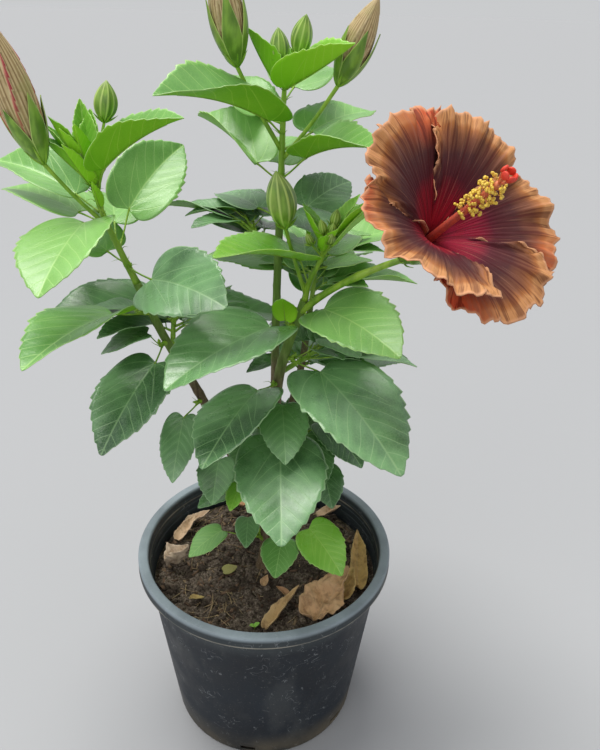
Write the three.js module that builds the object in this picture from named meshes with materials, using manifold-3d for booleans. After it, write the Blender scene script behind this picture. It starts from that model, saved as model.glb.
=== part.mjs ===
// A potted hibiscus shrub: three stems from one foot, leafy crowns, one open bloom and its buds.
// Millimetres and degrees, +Z up, origin at the middle of the pot's flat underside.
// A turn is a compass angle about +Z from +X, and a rise is the angle above the level.

import * as THREE from 'three';
import { mergeVertices } from 'three/addons/utils/BufferGeometryUtils.js';
import Module from 'manifold-3d';

const wasm = await Module();
wasm.setup();

// Driving sizes
const CLEAR = 0.35;
const LEAST_PIECE = 5;
const POT = {
  height: 200, rim: 127.5, base: 97, wall: 2.4, sides: 40,
  rimWidth: 10, rimEdge: 1.5, skirt: 12, skirtLip: 0.4, shoulder: 8,
};
const NOTCHES = { count: 6, width: 14, height: 8, depth: 12, foot: 2.5, turn: 20 };
const SOIL = { top: 168, flatRadius: 40, edge: 6, edgeFall: 1.1, dish: 0.4 };
const LEAF = { width: 0.76, fold: 8, droop: 25, lobe: 0.1, thickness: 0.012, thinnest: 0.7 };
const LEAF_ENDS = { base: 1.5, tip: 0.6 };
const LONG_LEAF = 60;
const PLAIN_LEAF = 48;
const STALK_RADIUS = 1.3;
const THIN_STALK = 0.75;
const PEDICEL = { radius: 1.9, sunk: 2 };
const SHOOT = { foot: 2.5, tip: 1.8, sides: 5 };
const LIMB_SIDES = 8;
const FLARE_SHARE = 1 / 9;

// Limbs: a path of a few points, and the radius at foot and tip
const LIMBS = {
  trunk: {
    path: [[0, 0, 160], [3, 0, 240], [8, 0, 320], [12, -1, 385], [21, -3, 425], [34, -5, 466]],
    foot: 6.2, tip: 3.8, flare: 4.5,
  },
  left_bough: {
    path: [[0, 0, 200], [-22, 5, 275], [-58, 9, 360], [-88, 9, 420], [-108, 5, 474]],
    foot: 4.8, tip: 3.4, flare: 0,
  },
  tall_bough: {
    path: [[6, 0, 300], [8, 15, 345], [9, 24, 440], [12, 25, 545]],
    foot: 4.2, tip: 3.2, flare: 0,
  },
  rear_bough: {
    path: [[3, 0, 240], [14, 30, 300], [32, 62, 365], [40, 78, 425]],
    foot: 4.2, tip: 3, flare: 0,
  },
};

// Masses: a short shoot on a limb, or a stem that carries on from a limb's tip.
// `leaves` are placed one by one; `fill` adds more round an arc by a seeded rule.
const MASSES = {
  left_crown: {
    limb: 'left_bough',
    path: [[-108.2, 5, 474.5], [-117, 1, 500], [-126, -1, 526], [-132, -2, 548], [-134, -4, 562]],
    foot: 3.1, tip: 1.6,
    leaves: [
      { at: 0.15, turn: -40, rise: -8, stalk: 30, pitch: 0, length: 88, roll: -35 },
      {
        at: 0.55, turn: -115, rise: 5, stalk: 24, swing: 18, pitch: -18,
        length: 92, roll: -8, fold: 12,
      },
      {
        at: 0.6, turn: 155, rise: 25, stalk: 28, pitch: 12,
        length: 84, roll: 20, fold: 30, width: 0.62,
      },
      {
        at: 0.75, turn: -40, rise: 60, stalk: 27, swing: 20, pitch: 30,
        length: 84, roll: -10, fold: 45, width: 0.6,
      },
      {
        at: 0.3, turn: 80, rise: 45, stalk: 37, swing: -22, pitch: 30,
        length: 84, roll: -40, fold: 20, width: 0.7,
      },
    ],
    fill: { count: 3, from: 0.1, to: 0.6, turn: 95, arc: 80, length: 78, pitch: 5, seed: 11 },
    tuft: { count: 3, turn: 110, step: 62, rise: 62, length: 52, seed: 5 },
    buds: [
      { at: 0.47, turn: 201, rise: 51, stalk: 67, lean: -24, length: 108, girth: 32 },
      { at: 1, turn: 16, rise: 71, stalk: 44, lean: -10, length: 30, girth: 19 },
    ],
  },
  left_side_foliage: {
    limb: 'left_bough', at: 0.87, turn: -150, rise: 10, length: 12,
    leaves: [
      {
        at: 0.6, turn: -130, rise: 15, stalk: 32, swing: 20, pitch: 0,
        length: 111, roll: -7, fold: 18, width: 0.62,
      },
      { at: 1, turn: 150, rise: 20, stalk: 10, swing: 25, pitch: -5, length: 34 },
    ],
  },
  left_low_foliage: {
    limb: 'left_bough', at: 0.74, turn: -110, rise: 10, length: 12,
    leaves: [
      { at: 0.6, turn: -110, rise: -40, stalk: 19, pitch: -25, length: 98, width: 0.66 },
      { at: 1, turn: 150, rise: 30, stalk: 16, swing: 50, pitch: -20, length: 44 },
    ],
  },
  tall_crown: {
    limb: 'tall_bough',
    path: [[12.1, 25, 545.5], [13, 24, 585], [14, 24, 620], [15, 23, 634]],
    foot: 2.9, tip: 1.6,
    leaves: [
      {
        at: 0.42, turn: -118, rise: 30, stalk: 24, swing: -11, pitch: 13,
        length: 114, roll: 15, fold: 38, width: 0.54,
      },
      {
        at: 0.1, turn: 180, rise: 36, stalk: 24, swing: -47, pitch: 19,
        length: 84, fold: 40, width: 0.7,
      },
      {
        at: 0.12, turn: -32, rise: 40, stalk: 30, swing: -20, pitch: 13,
        length: 84, roll: -12, fold: 38, width: 0.58,
      },
      {
        at: 0.8, turn: -77, rise: 15, stalk: 8, swing: 45, pitch: 30,
        length: 66, roll: -10, fold: 50, droop: -10,
      },
    ],
    fill: { count: 4, from: 0.05, to: 0.75, turn: 30, arc: 130, length: 78, pitch: 15, seed: 53 },
    tuft: { count: 1, turn: 50, step: 0, rise: 60, length: 34, seed: 8 },
    buds: [
      { at: 0.3, turn: 203, rise: 60, stalk: 72, lean: -19, length: 74, girth: 27 },
      { at: 0.24, turn: -13, rise: 53, stalk: 72, lean: -13, length: 66, girth: 25 },
      { at: 1, turn: -160, rise: 70, stalk: 11, lean: -15, length: 26, girth: 16 },
      { at: 1, turn: -38, rise: 55, stalk: 20, lean: -20, length: 30, girth: 17 },
    ],
  },
  tall_side_foliage: {
    limb: 'tall_bough', at: 0.93, turn: 50, rise: 20, length: 10,
    leaves: [
      { at: 0.5, turn: 0, rise: 35, stalk: 12, swing: -50, pitch: -15, length: 52, width: 0.85 },
      { at: 1, turn: 48, rise: 10, stalk: 26, pitch: 12, length: 60, roll: -30 },
      { at: 0.8, turn: 150, rise: 10, stalk: 28, swing: -20, pitch: 0, length: 60 },
    ],
  },
  centre_crown: {
    limb: 'trunk',
    path: [[34.3, -5.1, 466.9], [37, -8, 482], [44, -13, 500], [52, -20, 520]],
    foot: 2.9, tip: 1.5,
    leaves: [
      { at: 0.33, turn: -190, rise: 70, stalk: 21, swing: 48, pitch: 12, length: 84, fold: 20 },
      { at: 0.9, turn: 20, rise: 30, stalk: 10, pitch: 35, length: 50, fold: 40, width: 0.7 },
      { at: 0.6, turn: 12, rise: 10, stalk: 10, pitch: 5, length: 38, width: 0.7 },
    ],
    fill: { count: 2, from: 0.3, to: 0.7, turn: 60, arc: 70, length: 60, pitch: 5, seed: 71 },
    tuft: { count: 3, turn: 0, step: 137.5, rise: 55, length: 34, seed: 15 },
    buds: [
      { at: 0.1, turn: 218, rise: 70, stalk: 64, lean: -8, length: 46, girth: 25 },
    ],
  },
  upper_left_foliage: {
    limb: 'trunk', at: 0.885, turn: -120, rise: 20, length: 9,
    leaves: [
      {
        at: 0.6, turn: -138, rise: 12, stalk: 24, swing: 4, pitch: -10,
        length: 110, fold: 14, width: 0.78,
      },
      { at: 1, turn: -140, rise: 50, stalk: 8, swing: 40, pitch: 62, length: 28 },
    ],
  },
  upper_right_foliage: {
    limb: 'trunk', at: 0.92, turn: -30, rise: 0, length: 9,
    leaves: [
      {
        at: 0.8, turn: -30, rise: 38, stalk: 22, swing: -22, pitch: -5,
        length: 92, roll: -15, fold: 12,
      },
    ],
  },
  middle_right_foliage: {
    limb: 'trunk', at: 0.72, turn: -20, rise: 10, length: 10,
    leaves: [
      { at: 0.6, turn: -40, rise: -2, stalk: 34, swing: -15, pitch: -21, length: 118 },
      { at: 1, turn: 15, rise: 28, stalk: 34, swing: -70, pitch: 0, length: 45 },
    ],
  },
  middle_left_foliage: {
    limb: 'trunk', at: 0.6, turn: -120, rise: 10, length: 9,
    leaves: [
      {
        at: 0.6, turn: -121, rise: 12, stalk: 28, swing: 8, pitch: -13,
        length: 97, roll: -12, width: 0.7,
      },
    ],
  },
  front_foliage: {
    limb: 'trunk', at: 0.48, turn: -90, rise: 10, length: 9,
    leaves: [
      { at: 0.6, turn: -81, rise: 2, stalk: 40, swing: -6, pitch: -21, length: 100 },
      { at: 1, turn: -70, rise: 52, stalk: 36, swing: -15, pitch: -24, length: 60, width: 0.7 },
    ],
  },
  low_left_foliage: {
    limb: 'left_bough', at: 0.5, turn: -120, rise: 0, length: 9,
    leaves: [
      { at: 0.6, turn: -143, rise: -35, stalk: 20, swing: 47, pitch: -40, length: 62, width: 0.55 },
    ],
  },
  foot_left_foliage: {
    limb: 'trunk', at: 0.27, turn: -140, rise: 20, length: 12,
    leaves: [
      { at: 0.7, turn: -166, rise: 42, stalk: 56, swing: 75, pitch: -17, length: 50, width: 0.7 },
      { at: 1, turn: -173, rise: -4, stalk: 27, swing: 39, pitch: 2, length: 42, width: 0.6 },
      { at: 1, turn: -139, rise: 38, stalk: 28, swing: 35, pitch: -18, length: 34, width: 0.6 },
    ],
  },
  low_right_foliage: {
    limb: 'trunk', at: 0.4, turn: 0, rise: 10, length: 9,
    leaves: [
      { at: 0.6, turn: 8, rise: 22, stalk: 48, swing: -65, pitch: -16, length: 60 },
      { at: 0.8, turn: -30, rise: 32, stalk: 32, swing: -40, pitch: -26, length: 54, width: 0.7 },
      { at: 1, turn: 0, rise: -36, stalk: 47, swing: -75, pitch: -31, length: 44 },
    ],
  },
  left_sucker: {
    limb: 'trunk', at: 0.1, turn: -140, rise: 50, length: 16,
    leaves: [
      { at: 0.7, turn: -155, rise: 28, stalk: 46, swing: 10, pitch: -24, length: 40 },
      { at: 1, turn: -125, rise: 65, stalk: 36, swing: 36, pitch: -12, length: 36, width: 0.65 },
    ],
  },
  right_sucker: {
    limb: 'trunk', at: 0.09, turn: -40, rise: 50, length: 16,
    leaves: [
      { at: 0.7, turn: -65, rise: 38, stalk: 34, swing: -32, pitch: -14, length: 42, width: 0.85 },
      { at: 1, turn: -25, rise: 36, stalk: 48, swing: -28, pitch: -22, length: 56, roll: -25 },
    ],
  },
  rear_crown: {
    limb: 'rear_bough',
    path: [[40.1, 78.1, 425.5], [43, 84, 450], [45, 89, 480]],
    foot: 2.7, tip: 1.5,
    leaves: [],
    fill: { count: 7, from: 0, to: 0.95, turn: -10, arc: 190, length: 82, pitch: 0, seed: 127 },
    tuft: { count: 2, turn: 80, step: 137.5, rise: 65, length: 34, seed: 21 },
    buds: [
      { at: 1, turn: -60, rise: 60, stalk: 20, lean: -15, length: 30, girth: 17 },
    ],
  },
  rear_middle_foliage: {
    limb: 'rear_bough', at: 0.62, turn: 80, rise: 30, length: 26,
    leaves: [],
    fill: { count: 3, from: 0.4, to: 1, turn: -10, arc: 200, length: 84, pitch: -15, seed: 131 },
  },
  rear_low_foliage: {
    limb: 'rear_bough', at: 0.3, turn: 110, rise: 10, length: 26,
    leaves: [],
    fill: { count: 3, from: 0.4, to: 1, turn: 10, arc: 220, length: 76, pitch: -25, seed: 137 },
  },
  left_rear_foliage: {
    limb: 'left_bough', at: 0.7, turn: 95, rise: 40, length: 44,
    leaves: [],
    fill: { count: 5, from: 0.35, to: 1, turn: 0, arc: 200, length: 80, pitch: -10, seed: 139 },
  },
  tall_rear_foliage: {
    limb: 'tall_bough', at: 0.84, turn: 150, rise: 35, length: 34,
    leaves: [],
    fill: { count: 4, from: 0.35, to: 1, turn: 75, arc: 110, length: 70, pitch: -6, seed: 149 },
  },
  right_rear_foliage: {
    limb: 'trunk', at: 0.64, turn: 30, rise: 20, length: 40,
    leaves: [],
    fill: { count: 3, from: 0.4, to: 1, turn: -20, arc: 110, length: 80, pitch: -5, seed: 151 },
  },
  right_low_rear_foliage: {
    limb: 'trunk', at: 0.38, turn: 30, rise: 5, length: 30,
    leaves: [],
    fill: { count: 3, from: 0.4, to: 1, turn: -10, arc: 110, length: 76, pitch: -18, seed: 157 },
  },
};

const BLOOM = {
  stem: [[30, -5, 455], [52, -14, 477], [72, -23, 493], [92, -29, 505], [109, -32, 513]],
  foot: 2.9, tip: 2.6,
  throat: [121, -50, 532], axis: [0.41, -0.62, 0.67], firstTurn: 38,
  petal: 104, width: 0.98, thickness: 1.1, opens: 25, flat: 78, overlap: 0.1,
  claw: 0.1, shoulder: 0.14, narrows: 0.25, reflex: 0.12,
  calyx: { radius: 9, from: -2, past: 12 },
  column: { length: 97, foot: 3, tip: 2, from: -0.1, anthersFrom: 0.5, anthersTo: 0.9, anthers: 9.5 },
  stigma: { from: 0.98, to: 1.06, out: 5, stalk: 1, pad: 2.6 },
};

const LITTER_LIFT = 1.2;
const DRY_LEAVES = [
  { place: [45, -76], turn: 48, length: 64, width: 0.72, fold: 6, droop: -14 },
  { place: [-100, -6], turn: 30, length: 32, width: 0.7, fold: 25, droop: -30 },
  { place: [6, -87], turn: 50, length: 52, width: 0.3, fold: 30, droop: -25 },
  { place: [94, -34], turn: 88, length: 66, width: 0.28, fold: 20, droop: -20 },
];

// Small helpers

const radians = THREE.MathUtils.degToRad;

function polar(turn, rise, reach = 1) {
  const t = radians(turn);
  const r = radians(rise);
  const level = reach * Math.cos(r);
  return new THREE.Vector3(level * Math.cos(t), level * Math.sin(t), reach * Math.sin(r));
}

function seeded(seed) {
  let state = seed;
  return (low, high) => {
    state = (state * 16807) % 2147483647;
    return low + (high - low) * (state / 2147483647);
  };
}

function curveThrough(path) {
  return new THREE.CatmullRomCurve3(path.map((p) => new THREE.Vector3(...p)), false, 'catmullrom', 0.5);
}

// Moves every vertex of a geometry by place(x, y, z), which returns a Vector3
function reshaped(geometry, place) {
  const spots = geometry.attributes.position;
  for (let i = 0; i < spots.count; i += 1) {
    const p = place(spots.getX(i), spots.getY(i), spots.getZ(i));
    spots.setXYZ(i, p.x, p.y, p.z);
  }
  return geometry;
}

function solid(geometry) {
  const bare = geometry.clone();
  bare.deleteAttribute('normal');
  bare.deleteAttribute('uv');
  const merged = mergeVertices(bare, 1e-4);
  return new wasm.Manifold(new wasm.Mesh({
    numProp: 3,
    vertProperties: new Float32Array(merged.attributes.position.array),
    triVerts: new Uint32Array(merged.index.array),
  }));
}

function joined(solids) {
  return solids.reduce((all, one) => all.add(one));
}

// Leaves out the scraps and the sealed pockets that joining and cutting thin blades can leave
function withoutScraps(body) {
  return joined(body.decompose().filter((piece) => piece.volume() > LEAST_PIECE));
}

function geometryOf(body) {
  const mesh = body.getMesh();
  const geometry = new THREE.BufferGeometry();
  geometry.setAttribute('position', new THREE.BufferAttribute(mesh.vertProperties, 3));
  geometry.setIndex(new THREE.BufferAttribute(mesh.triVerts, 1));
  return geometry;
}

// A cylinder bent along a curve, with its radius given by a function of the share of its length
function bentTube(curve, radiusAt, sides, steps) {
  return reshaped(new THREE.CylinderGeometry(1, 1, 1, sides, steps), (x, y, z) => {
    const share = y + 0.5;
    const ahead = curve.getTangent(share);
    const across = Math.abs(ahead.x) < 0.97 ? new THREE.Vector3(1, 0, 0) : new THREE.Vector3(0, 1, 0);
    across.addScaledVector(ahead, -across.dot(ahead)).normalize();
    const over = new THREE.Vector3().crossVectors(across, ahead);
    const reach = radiusAt(share);
    return curve.getPoint(share).addScaledVector(across, x * reach).addScaledVector(over, z * reach);
  });
}

// Limbs

// With `grow`, the same limb thicker by that much, to cut its clearance out of what stands on it
function limbSolid(limb, grow = 0) {
  const curve = curveThrough(limb.path);
  const radiusAt = (share) => {
    const taper = limb.foot + (limb.tip - limb.foot) * share;
    return taper + limb.flare * Math.max(0, 1 - share / FLARE_SHARE) ** 2 + grow;
  };
  const steps = (limb.path.length - 1) * 2;
  const tube = solid(bentTube(curve, radiusAt, LIMB_SIDES, steps));
  if (grow === 0) {
    return tube;
  }
  const tip = curve.getPoint(1);
  const ahead = curve.getTangent(1);
  const inside = tip.clone().addScaledVector(ahead, -1);
  const cap = new THREE.LineCurve3(inside, tip.addScaledVector(ahead, grow));
  return tube.add(solid(bentTube(cap, () => limb.tip + grow, LIMB_SIDES, 1)));
}

// Leaves

function halfWidth(t) {
  const a = 0.55;
  const b = 0.85;
  const peak = (a / (a + b)) ** a * (b / (a + b)) ** b;
  return t ** a * (1 - t) ** b / peak;
}

// The blade's surface: t runs from the stalk to the tip, u from side to side, lift along its normal
function bladePoint(root, leaf, t, u, lift) {
  const droop = radians(leaf.droop ?? LEAF.droop);
  const first = radians(leaf.pitch) + droop / 2;
  const here = first - droop * t;
  const out = leaf.length / droop * (Math.sin(first) - Math.sin(here));
  const up = leaf.length / droop * (Math.cos(here) - Math.cos(first));
  const heading = polar(leaf.heading, 0);
  const ahead = heading.clone().multiplyScalar(Math.cos(here)).add(new THREE.Vector3(0, 0, Math.sin(here)));
  const level = new THREE.Vector3(heading.y, -heading.x, 0);
  const face = heading.clone().multiplyScalar(-Math.sin(here)).add(new THREE.Vector3(0, 0, Math.cos(here)));
  const roll = radians(leaf.roll ?? 0);
  const side = level.clone().multiplyScalar(Math.cos(roll)).addScaledVector(face, Math.sin(roll));
  const normal = face.clone().multiplyScalar(Math.cos(roll)).addScaledVector(level, -Math.sin(roll));
  const fold = radians(leaf.fold ?? LEAF.fold);
  const narrow = t < 0.5 ? LEAF_ENDS.base : LEAF_ENDS.tip;
  const reach = Math.max(narrow, 0.5 * (leaf.width ?? LEAF.width) * leaf.length * halfWidth(t));
  const lobe = LEAF.lobe * leaf.length * (1 - t) ** 5 * Math.abs(u);
  return root.clone()
    .addScaledVector(heading, out)
    .add(new THREE.Vector3(0, 0, up))
    .addScaledVector(ahead, -lobe)
    .addScaledVector(side, reach * u * Math.cos(fold))
    .addScaledVector(normal, reach * Math.abs(u) * Math.sin(fold) + lift);
}

// A leaf is one box bent along its stalk and blade; a station of -1 is the stalk's foot
const BLADE_STATIONS = [0, 0.16, 0.55, 1];
const SMALL_BLADE_STATIONS = [0, 0.33, 1];

function blade(root, leaf, foot) {
  const thick = Math.max(LEAF.thinnest, leaf.length * LEAF.thickness);
  const radius = leaf.length > LONG_LEAF ? STALK_RADIUS : STALK_RADIUS * THIN_STALK;
  const stations = leaf.length > PLAIN_LEAF ? [...BLADE_STATIONS] : [...SMALL_BLADE_STATIONS];
  if (foot) {
    stations.unshift(-1);
  }
  const bands = stations.length - 1;
  const level = polar(leaf.turn - 90, 0);
  return solid(reshaped(new THREE.BoxGeometry(1, 1, 1, 2, 1, bands), (x, y, z) => {
    const t = stations[Math.round((0.5 - z) * bands)];
    if (t >= 0) {
      return bladePoint(root, leaf, t, 2 * x, y * (t === 0 ? radius * 2 : thick));
    }
    const over = new THREE.Vector3().crossVectors(level, polar(leaf.turn, leaf.rise));
    return foot.clone().addScaledVector(level, 2 * x * radius).addScaledVector(over, 2 * y * radius);
  }));
}

function leafSolid(stem, leaf) {
  const foot = stem.getPoint(leaf.at);
  const root = foot.clone().add(polar(leaf.turn, leaf.rise, leaf.stalk));
  return blade(root, { ...leaf, heading: leaf.turn + (leaf.swing ?? 0) }, foot);
}

// More leaves round an arc: the golden share of the arc steps from one to the next
function fillLeaves({ count, from, to, turn, arc, length, pitch, seed }) {
  const pick = seeded(seed);
  return Array.from({ length: count }, (_, i) => ({
    at: from + (to - from) * (i + 0.5) / count,
    turn: turn + arc * ((0.5 + i * 0.618) % 1),
    rise: pick(5, 30),
    stalk: pick(24, 36),
    pitch: pitch + pick(-8, 8),
    length: length * pick(0.85, 1.1),
    roll: pick(-15, 15),
    fold: pick(8, 20),
  }));
}

// Young leaves, folded and upright, round a shoot's tip
function tuftLeaves({ count, turn, step, rise, length, seed }) {
  const pick = seeded(seed);
  return Array.from({ length: count }, (_, i) => ({
    at: 1 - 0.1 * i,
    turn: turn + step * i,
    rise: rise + pick(-5, 5),
    stalk: 6 + pick(0, 6),
    pitch: rise + pick(-12, 8),
    length: length * (1 - 0.13 * i),
    fold: 50,
    width: 0.55,
    droop: -10,
  }));
}

// Buds: a closed spindle on a stalk

const BUD_OUTLINE = [[0, 0], [0.6, 0.06], [1, 0.36], [0.72, 0.7], [0, 1]];

function spindle(foot, ahead, length, girth, sides) {
  const outline = BUD_OUTLINE.map(([r, y]) => new THREE.Vector2(r * girth / 2, y * length));
  const turned = new THREE.Quaternion().setFromUnitVectors(new THREE.Vector3(0, 1, 0), ahead);
  const shape = new THREE.LatheGeometry(outline, sides);
  return solid(shape.applyQuaternion(turned).translate(foot.x, foot.y, foot.z));
}

function stalk(from, to, radius) {
  return solid(bentTube(new THREE.LineCurve3(from, to), () => radius, 3, 1));
}

function budSolids(stem, bud) {
  const foot = stem.getPoint(bud.at);
  const base = foot.clone().add(polar(bud.turn, bud.rise, bud.stalk));
  const ahead = polar(bud.turn, bud.rise - bud.lean);
  const inside = base.clone().addScaledVector(ahead, PEDICEL.sunk);
  const sides = bud.length > PLAIN_LEAF ? 8 : 6;
  return [stalk(foot, inside, PEDICEL.radius), spindle(base, ahead, bud.length, bud.girth, sides)];
}

function stemCurve(mass) {
  if (mass.path) {
    return curveThrough(mass.path);
  }
  const from = curveThrough(LIMBS[mass.limb].path).getPoint(mass.at);
  return new THREE.LineCurve3(from, from.clone().add(polar(mass.turn, mass.rise, mass.length)));
}

function massSolid(mass) {
  const stem = stemCurve(mass);
  const { foot, tip } = mass.path ? mass : SHOOT;
  const steps = mass.path ? mass.path.length - 1 : 1;
  const leaves = [...mass.leaves];
  if (mass.fill) {
    leaves.push(...fillLeaves(mass.fill));
  }
  if (mass.tuft) {
    leaves.push(...tuftLeaves(mass.tuft));
  }
  const solids = [solid(bentTube(stem, (share) => foot + (tip - foot) * share, SHOOT.sides, steps))];
  leaves.forEach((leaf) => solids.push(leafSolid(stem, leaf)));
  (mass.buds ?? []).forEach((bud) => solids.push(...budSolids(stem, bud)));
  return joined(solids);
}

// The bloom: stalk, calyx, five petals, column with anthers and stigma

function bloomFrame() {
  const ahead = new THREE.Vector3(...BLOOM.axis).normalize();
  const up = new THREE.Vector3(0, 0, 1);
  const upright = up.addScaledVector(ahead, -ahead.z).normalize();
  return { ahead, upright, level: new THREE.Vector3().crossVectors(ahead, upright) };
}

// The direction at right angles to the bloom's axis, at a turn from the uppermost one
function outward({ upright, level }, turn) {
  return upright.clone().multiplyScalar(Math.cos(turn)).addScaledVector(level, Math.sin(turn));
}

// A petal's surface: s runs from the throat to the rim, u from side to side, lift along its normal
function petalPoint(frame, turn, s, u, lift) {
  const out = outward(frame, turn);
  const side = outward(frame, turn + Math.PI / 2);
  const along = s * (1 - BLOOM.shoulder * u * u);
  const steps = 12;
  const spot = new THREE.Vector3(...BLOOM.throat);
  let tilt = 0;
  for (let i = 0; i < steps; i += 1) {
    tilt = radians(BLOOM.opens + (BLOOM.flat - BLOOM.opens) * (((i + 0.5) / steps) * along) ** 0.6);
    const step = along * BLOOM.petal / steps;
    spot.addScaledVector(frame.ahead, Math.cos(tilt) * step).addScaledVector(out, Math.sin(tilt) * step);
  }
  const face = frame.ahead.clone().multiplyScalar(Math.sin(tilt)).addScaledVector(out, -Math.cos(tilt));
  const reach = 0.5 * BLOOM.width * BLOOM.petal * along ** 0.9 * (1 - BLOOM.narrows * along ** 3);
  return spot
    .addScaledVector(side, reach * u)
    .addScaledVector(face, BLOOM.overlap * reach * u + lift)
    .addScaledVector(frame.ahead, -BLOOM.reflex * reach * u * u);
}

function petal(frame, turn) {
  return solid(reshaped(new THREE.BoxGeometry(1, 1, 1, 4, 1, 4), (x, y, z) => (
    petalPoint(frame, turn, BLOOM.claw + (1 - BLOOM.claw) * (0.5 + z), 2 * x, y * BLOOM.thickness)
  )));
}

function bloomSolid() {
  const frame = bloomFrame();
  const throat = new THREE.Vector3(...BLOOM.throat);
  const stem = curveThrough(BLOOM.stem);
  const end = stem.getPoint(1);
  const parts = [solid(bentTube(stem, (share) => BLOOM.foot + (BLOOM.tip - BLOOM.foot) * share, 6, 8))];
  const toThroat = throat.clone().sub(end).normalize();
  const { calyx, column, stigma } = BLOOM;
  const cupFoot = end.clone().addScaledVector(toThroat, calyx.from);
  const cup = new THREE.LineCurve3(cupFoot, throat.clone().addScaledVector(toThroat, calyx.past));
  parts.push(solid(bentTube(cup, (share) => calyx.radius * (0.35 + 2.4 * share * (1.15 - share)), 8, 4)));
  for (let k = 0; k < 5; k += 1) {
    parts.push(petal(frame, radians(BLOOM.firstTurn + 72 * k)));
  }
  const spot = (share) => throat.clone().addScaledVector(frame.ahead, column.length * share);
  const core = new THREE.LineCurve3(spot(column.from), spot(1));
  parts.push(solid(bentTube(core, (share) => column.foot + (column.tip - column.foot) * share, 6, 2)));
  const sleeve = column.length * (column.anthersTo - column.anthersFrom);
  parts.push(spindle(spot(column.anthersFrom), frame.ahead, sleeve, 2 * column.anthers, 6));
  for (let k = 0; k < 5; k += 1) {
    const pad = spot(stigma.to).addScaledVector(outward(frame, radians(72 * k)), stigma.out);
    parts.push(stalk(spot(stigma.from), pad, stigma.stalk));
    parts.push(solid(new THREE.OctahedronGeometry(stigma.pad, 0).translate(pad.x, pad.y, pad.z)));
  }
  return joined(parts);
}

// Pot and soil

function wallRadius(height) {
  const slope = (POT.rim - POT.rimWidth + POT.wall - POT.base) / POT.height;
  return POT.base + slope * height;
}

function turned(profile) {
  const outline = profile.map(([r, z]) => new THREE.Vector2(r, z));
  return solid(new THREE.LatheGeometry(outline, POT.sides).rotateX(Math.PI / 2));
}

function potSolid() {
  const { height, rim, base, wall, rimWidth, rimEdge, skirt, skirtLip, shoulder } = POT;
  const skirtFoot = height - skirt;
  const body = turned([
    [0, 0],
    [base, 0],
    [wallRadius(skirtFoot), skirtFoot],
    [rim - skirtLip, skirtFoot],
    [rim - rimEdge, skirtFoot + skirtLip * 6],
    [rim, height - rimEdge],
    [rim - rimEdge, height],
    [rim - rimWidth, height],
    [wallRadius(height - shoulder) - wall, height - shoulder],
    [wallRadius(wall) - wall, wall],
    [0, wall],
  ]);
  const cuts = Array.from({ length: NOTCHES.count }, (_, i) => {
    const box = new THREE.BoxGeometry(NOTCHES.depth, NOTCHES.width, NOTCHES.height);
    box.translate(base, 0, NOTCHES.foot + NOTCHES.height / 2);
    return solid(box.rotateZ(radians(NOTCHES.turn + 360 * i / NOTCHES.count)));
  });
  return body.subtract(joined(cuts));
}

function soilSolid() {
  const floor = POT.wall + CLEAR;
  const side = wallRadius(SOIL.top) - POT.wall - CLEAR;
  return turned([
    [0, floor],
    [wallRadius(floor) - POT.wall - CLEAR, floor],
    [side, SOIL.top - SOIL.dish - SOIL.edgeFall],
    [side - SOIL.edge, SOIL.top - SOIL.dish],
    [SOIL.flatRadius, SOIL.top],
    [0, SOIL.top],
  ]);
}

// The materials' plain colours

const finish = (color, roughness) => new THREE.MeshStandardMaterial({ color, roughness, metalness: 0 });
const FINISHES = {
  pot: finish(0x22272b, 0.55),
  soil: finish(0x3a2a1f, 0.95),
  bark: finish(0x6b5a43, 0.85),
  greenBark: finish(0x6f8438, 0.7),
  foliage: finish(0x3f7a35, 0.5),
  bloom: finish(0x8a3a2c, 0.6),
  litter: finish(0xb98a58, 0.85),
};

const shrub = new THREE.Group();

function addMesh(name, body, material) {
  const mesh = new THREE.Mesh(geometryOf(body), material);
  mesh.name = name;
  shrub.add(mesh);
}

addMesh('pot', potSolid(), FINISHES.pot);
addMesh('soil', soilSolid(), FINISHES.soil);

// The trunk's slanting foot is cut level, just clear of the soil
const foot = new THREE.BoxGeometry(60, 60, 20).translate(0, 0, SOIL.top + CLEAR - 10);
addMesh('trunk', limbSolid(LIMBS.trunk).subtract(solid(foot)), FINISHES.bark);
const clearOfTrunk = limbSolid(LIMBS.trunk, CLEAR);
['left_bough', 'tall_bough', 'rear_bough'].forEach((name) => {
  addMesh(name, limbSolid(LIMBS[name]).subtract(clearOfTrunk), FINISHES.greenBark);
});

const clearOfLimbs = joined(Object.values(LIMBS).map((limb) => limbSolid(limb, CLEAR)));
Object.entries(MASSES).forEach(([name, mass]) => {
  addMesh(name, withoutScraps(massSolid(mass).subtract(clearOfLimbs)), FINISHES.foliage);
});
addMesh('bloom', withoutScraps(bloomSolid().subtract(clearOfLimbs)), FINISHES.bloom);

DRY_LEAVES.forEach(({ place, turn, ...leaf }, i) => {
  const root = new THREE.Vector3(...place, SOIL.top + LITTER_LIFT);
  const dry = blade(root, { ...leaf, heading: turn, pitch: -0.5 * leaf.droop });
  addMesh(`dry_leaf_${i + 1}`, dry, FINISHES.litter);
});

export default shrub;
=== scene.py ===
# A potted hibiscus shrub: nursery pot, soil, three stems, leafy crowns, buds and one open bloom.
# Places and sizes are in millimetres until a piece is finished; turns and rises are in degrees,
# a turn being a compass angle about +Z from +X and a rise the angle above the level.

import math
import random

import bmesh
import bpy
from mathutils import Matrix, Vector, noise


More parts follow.
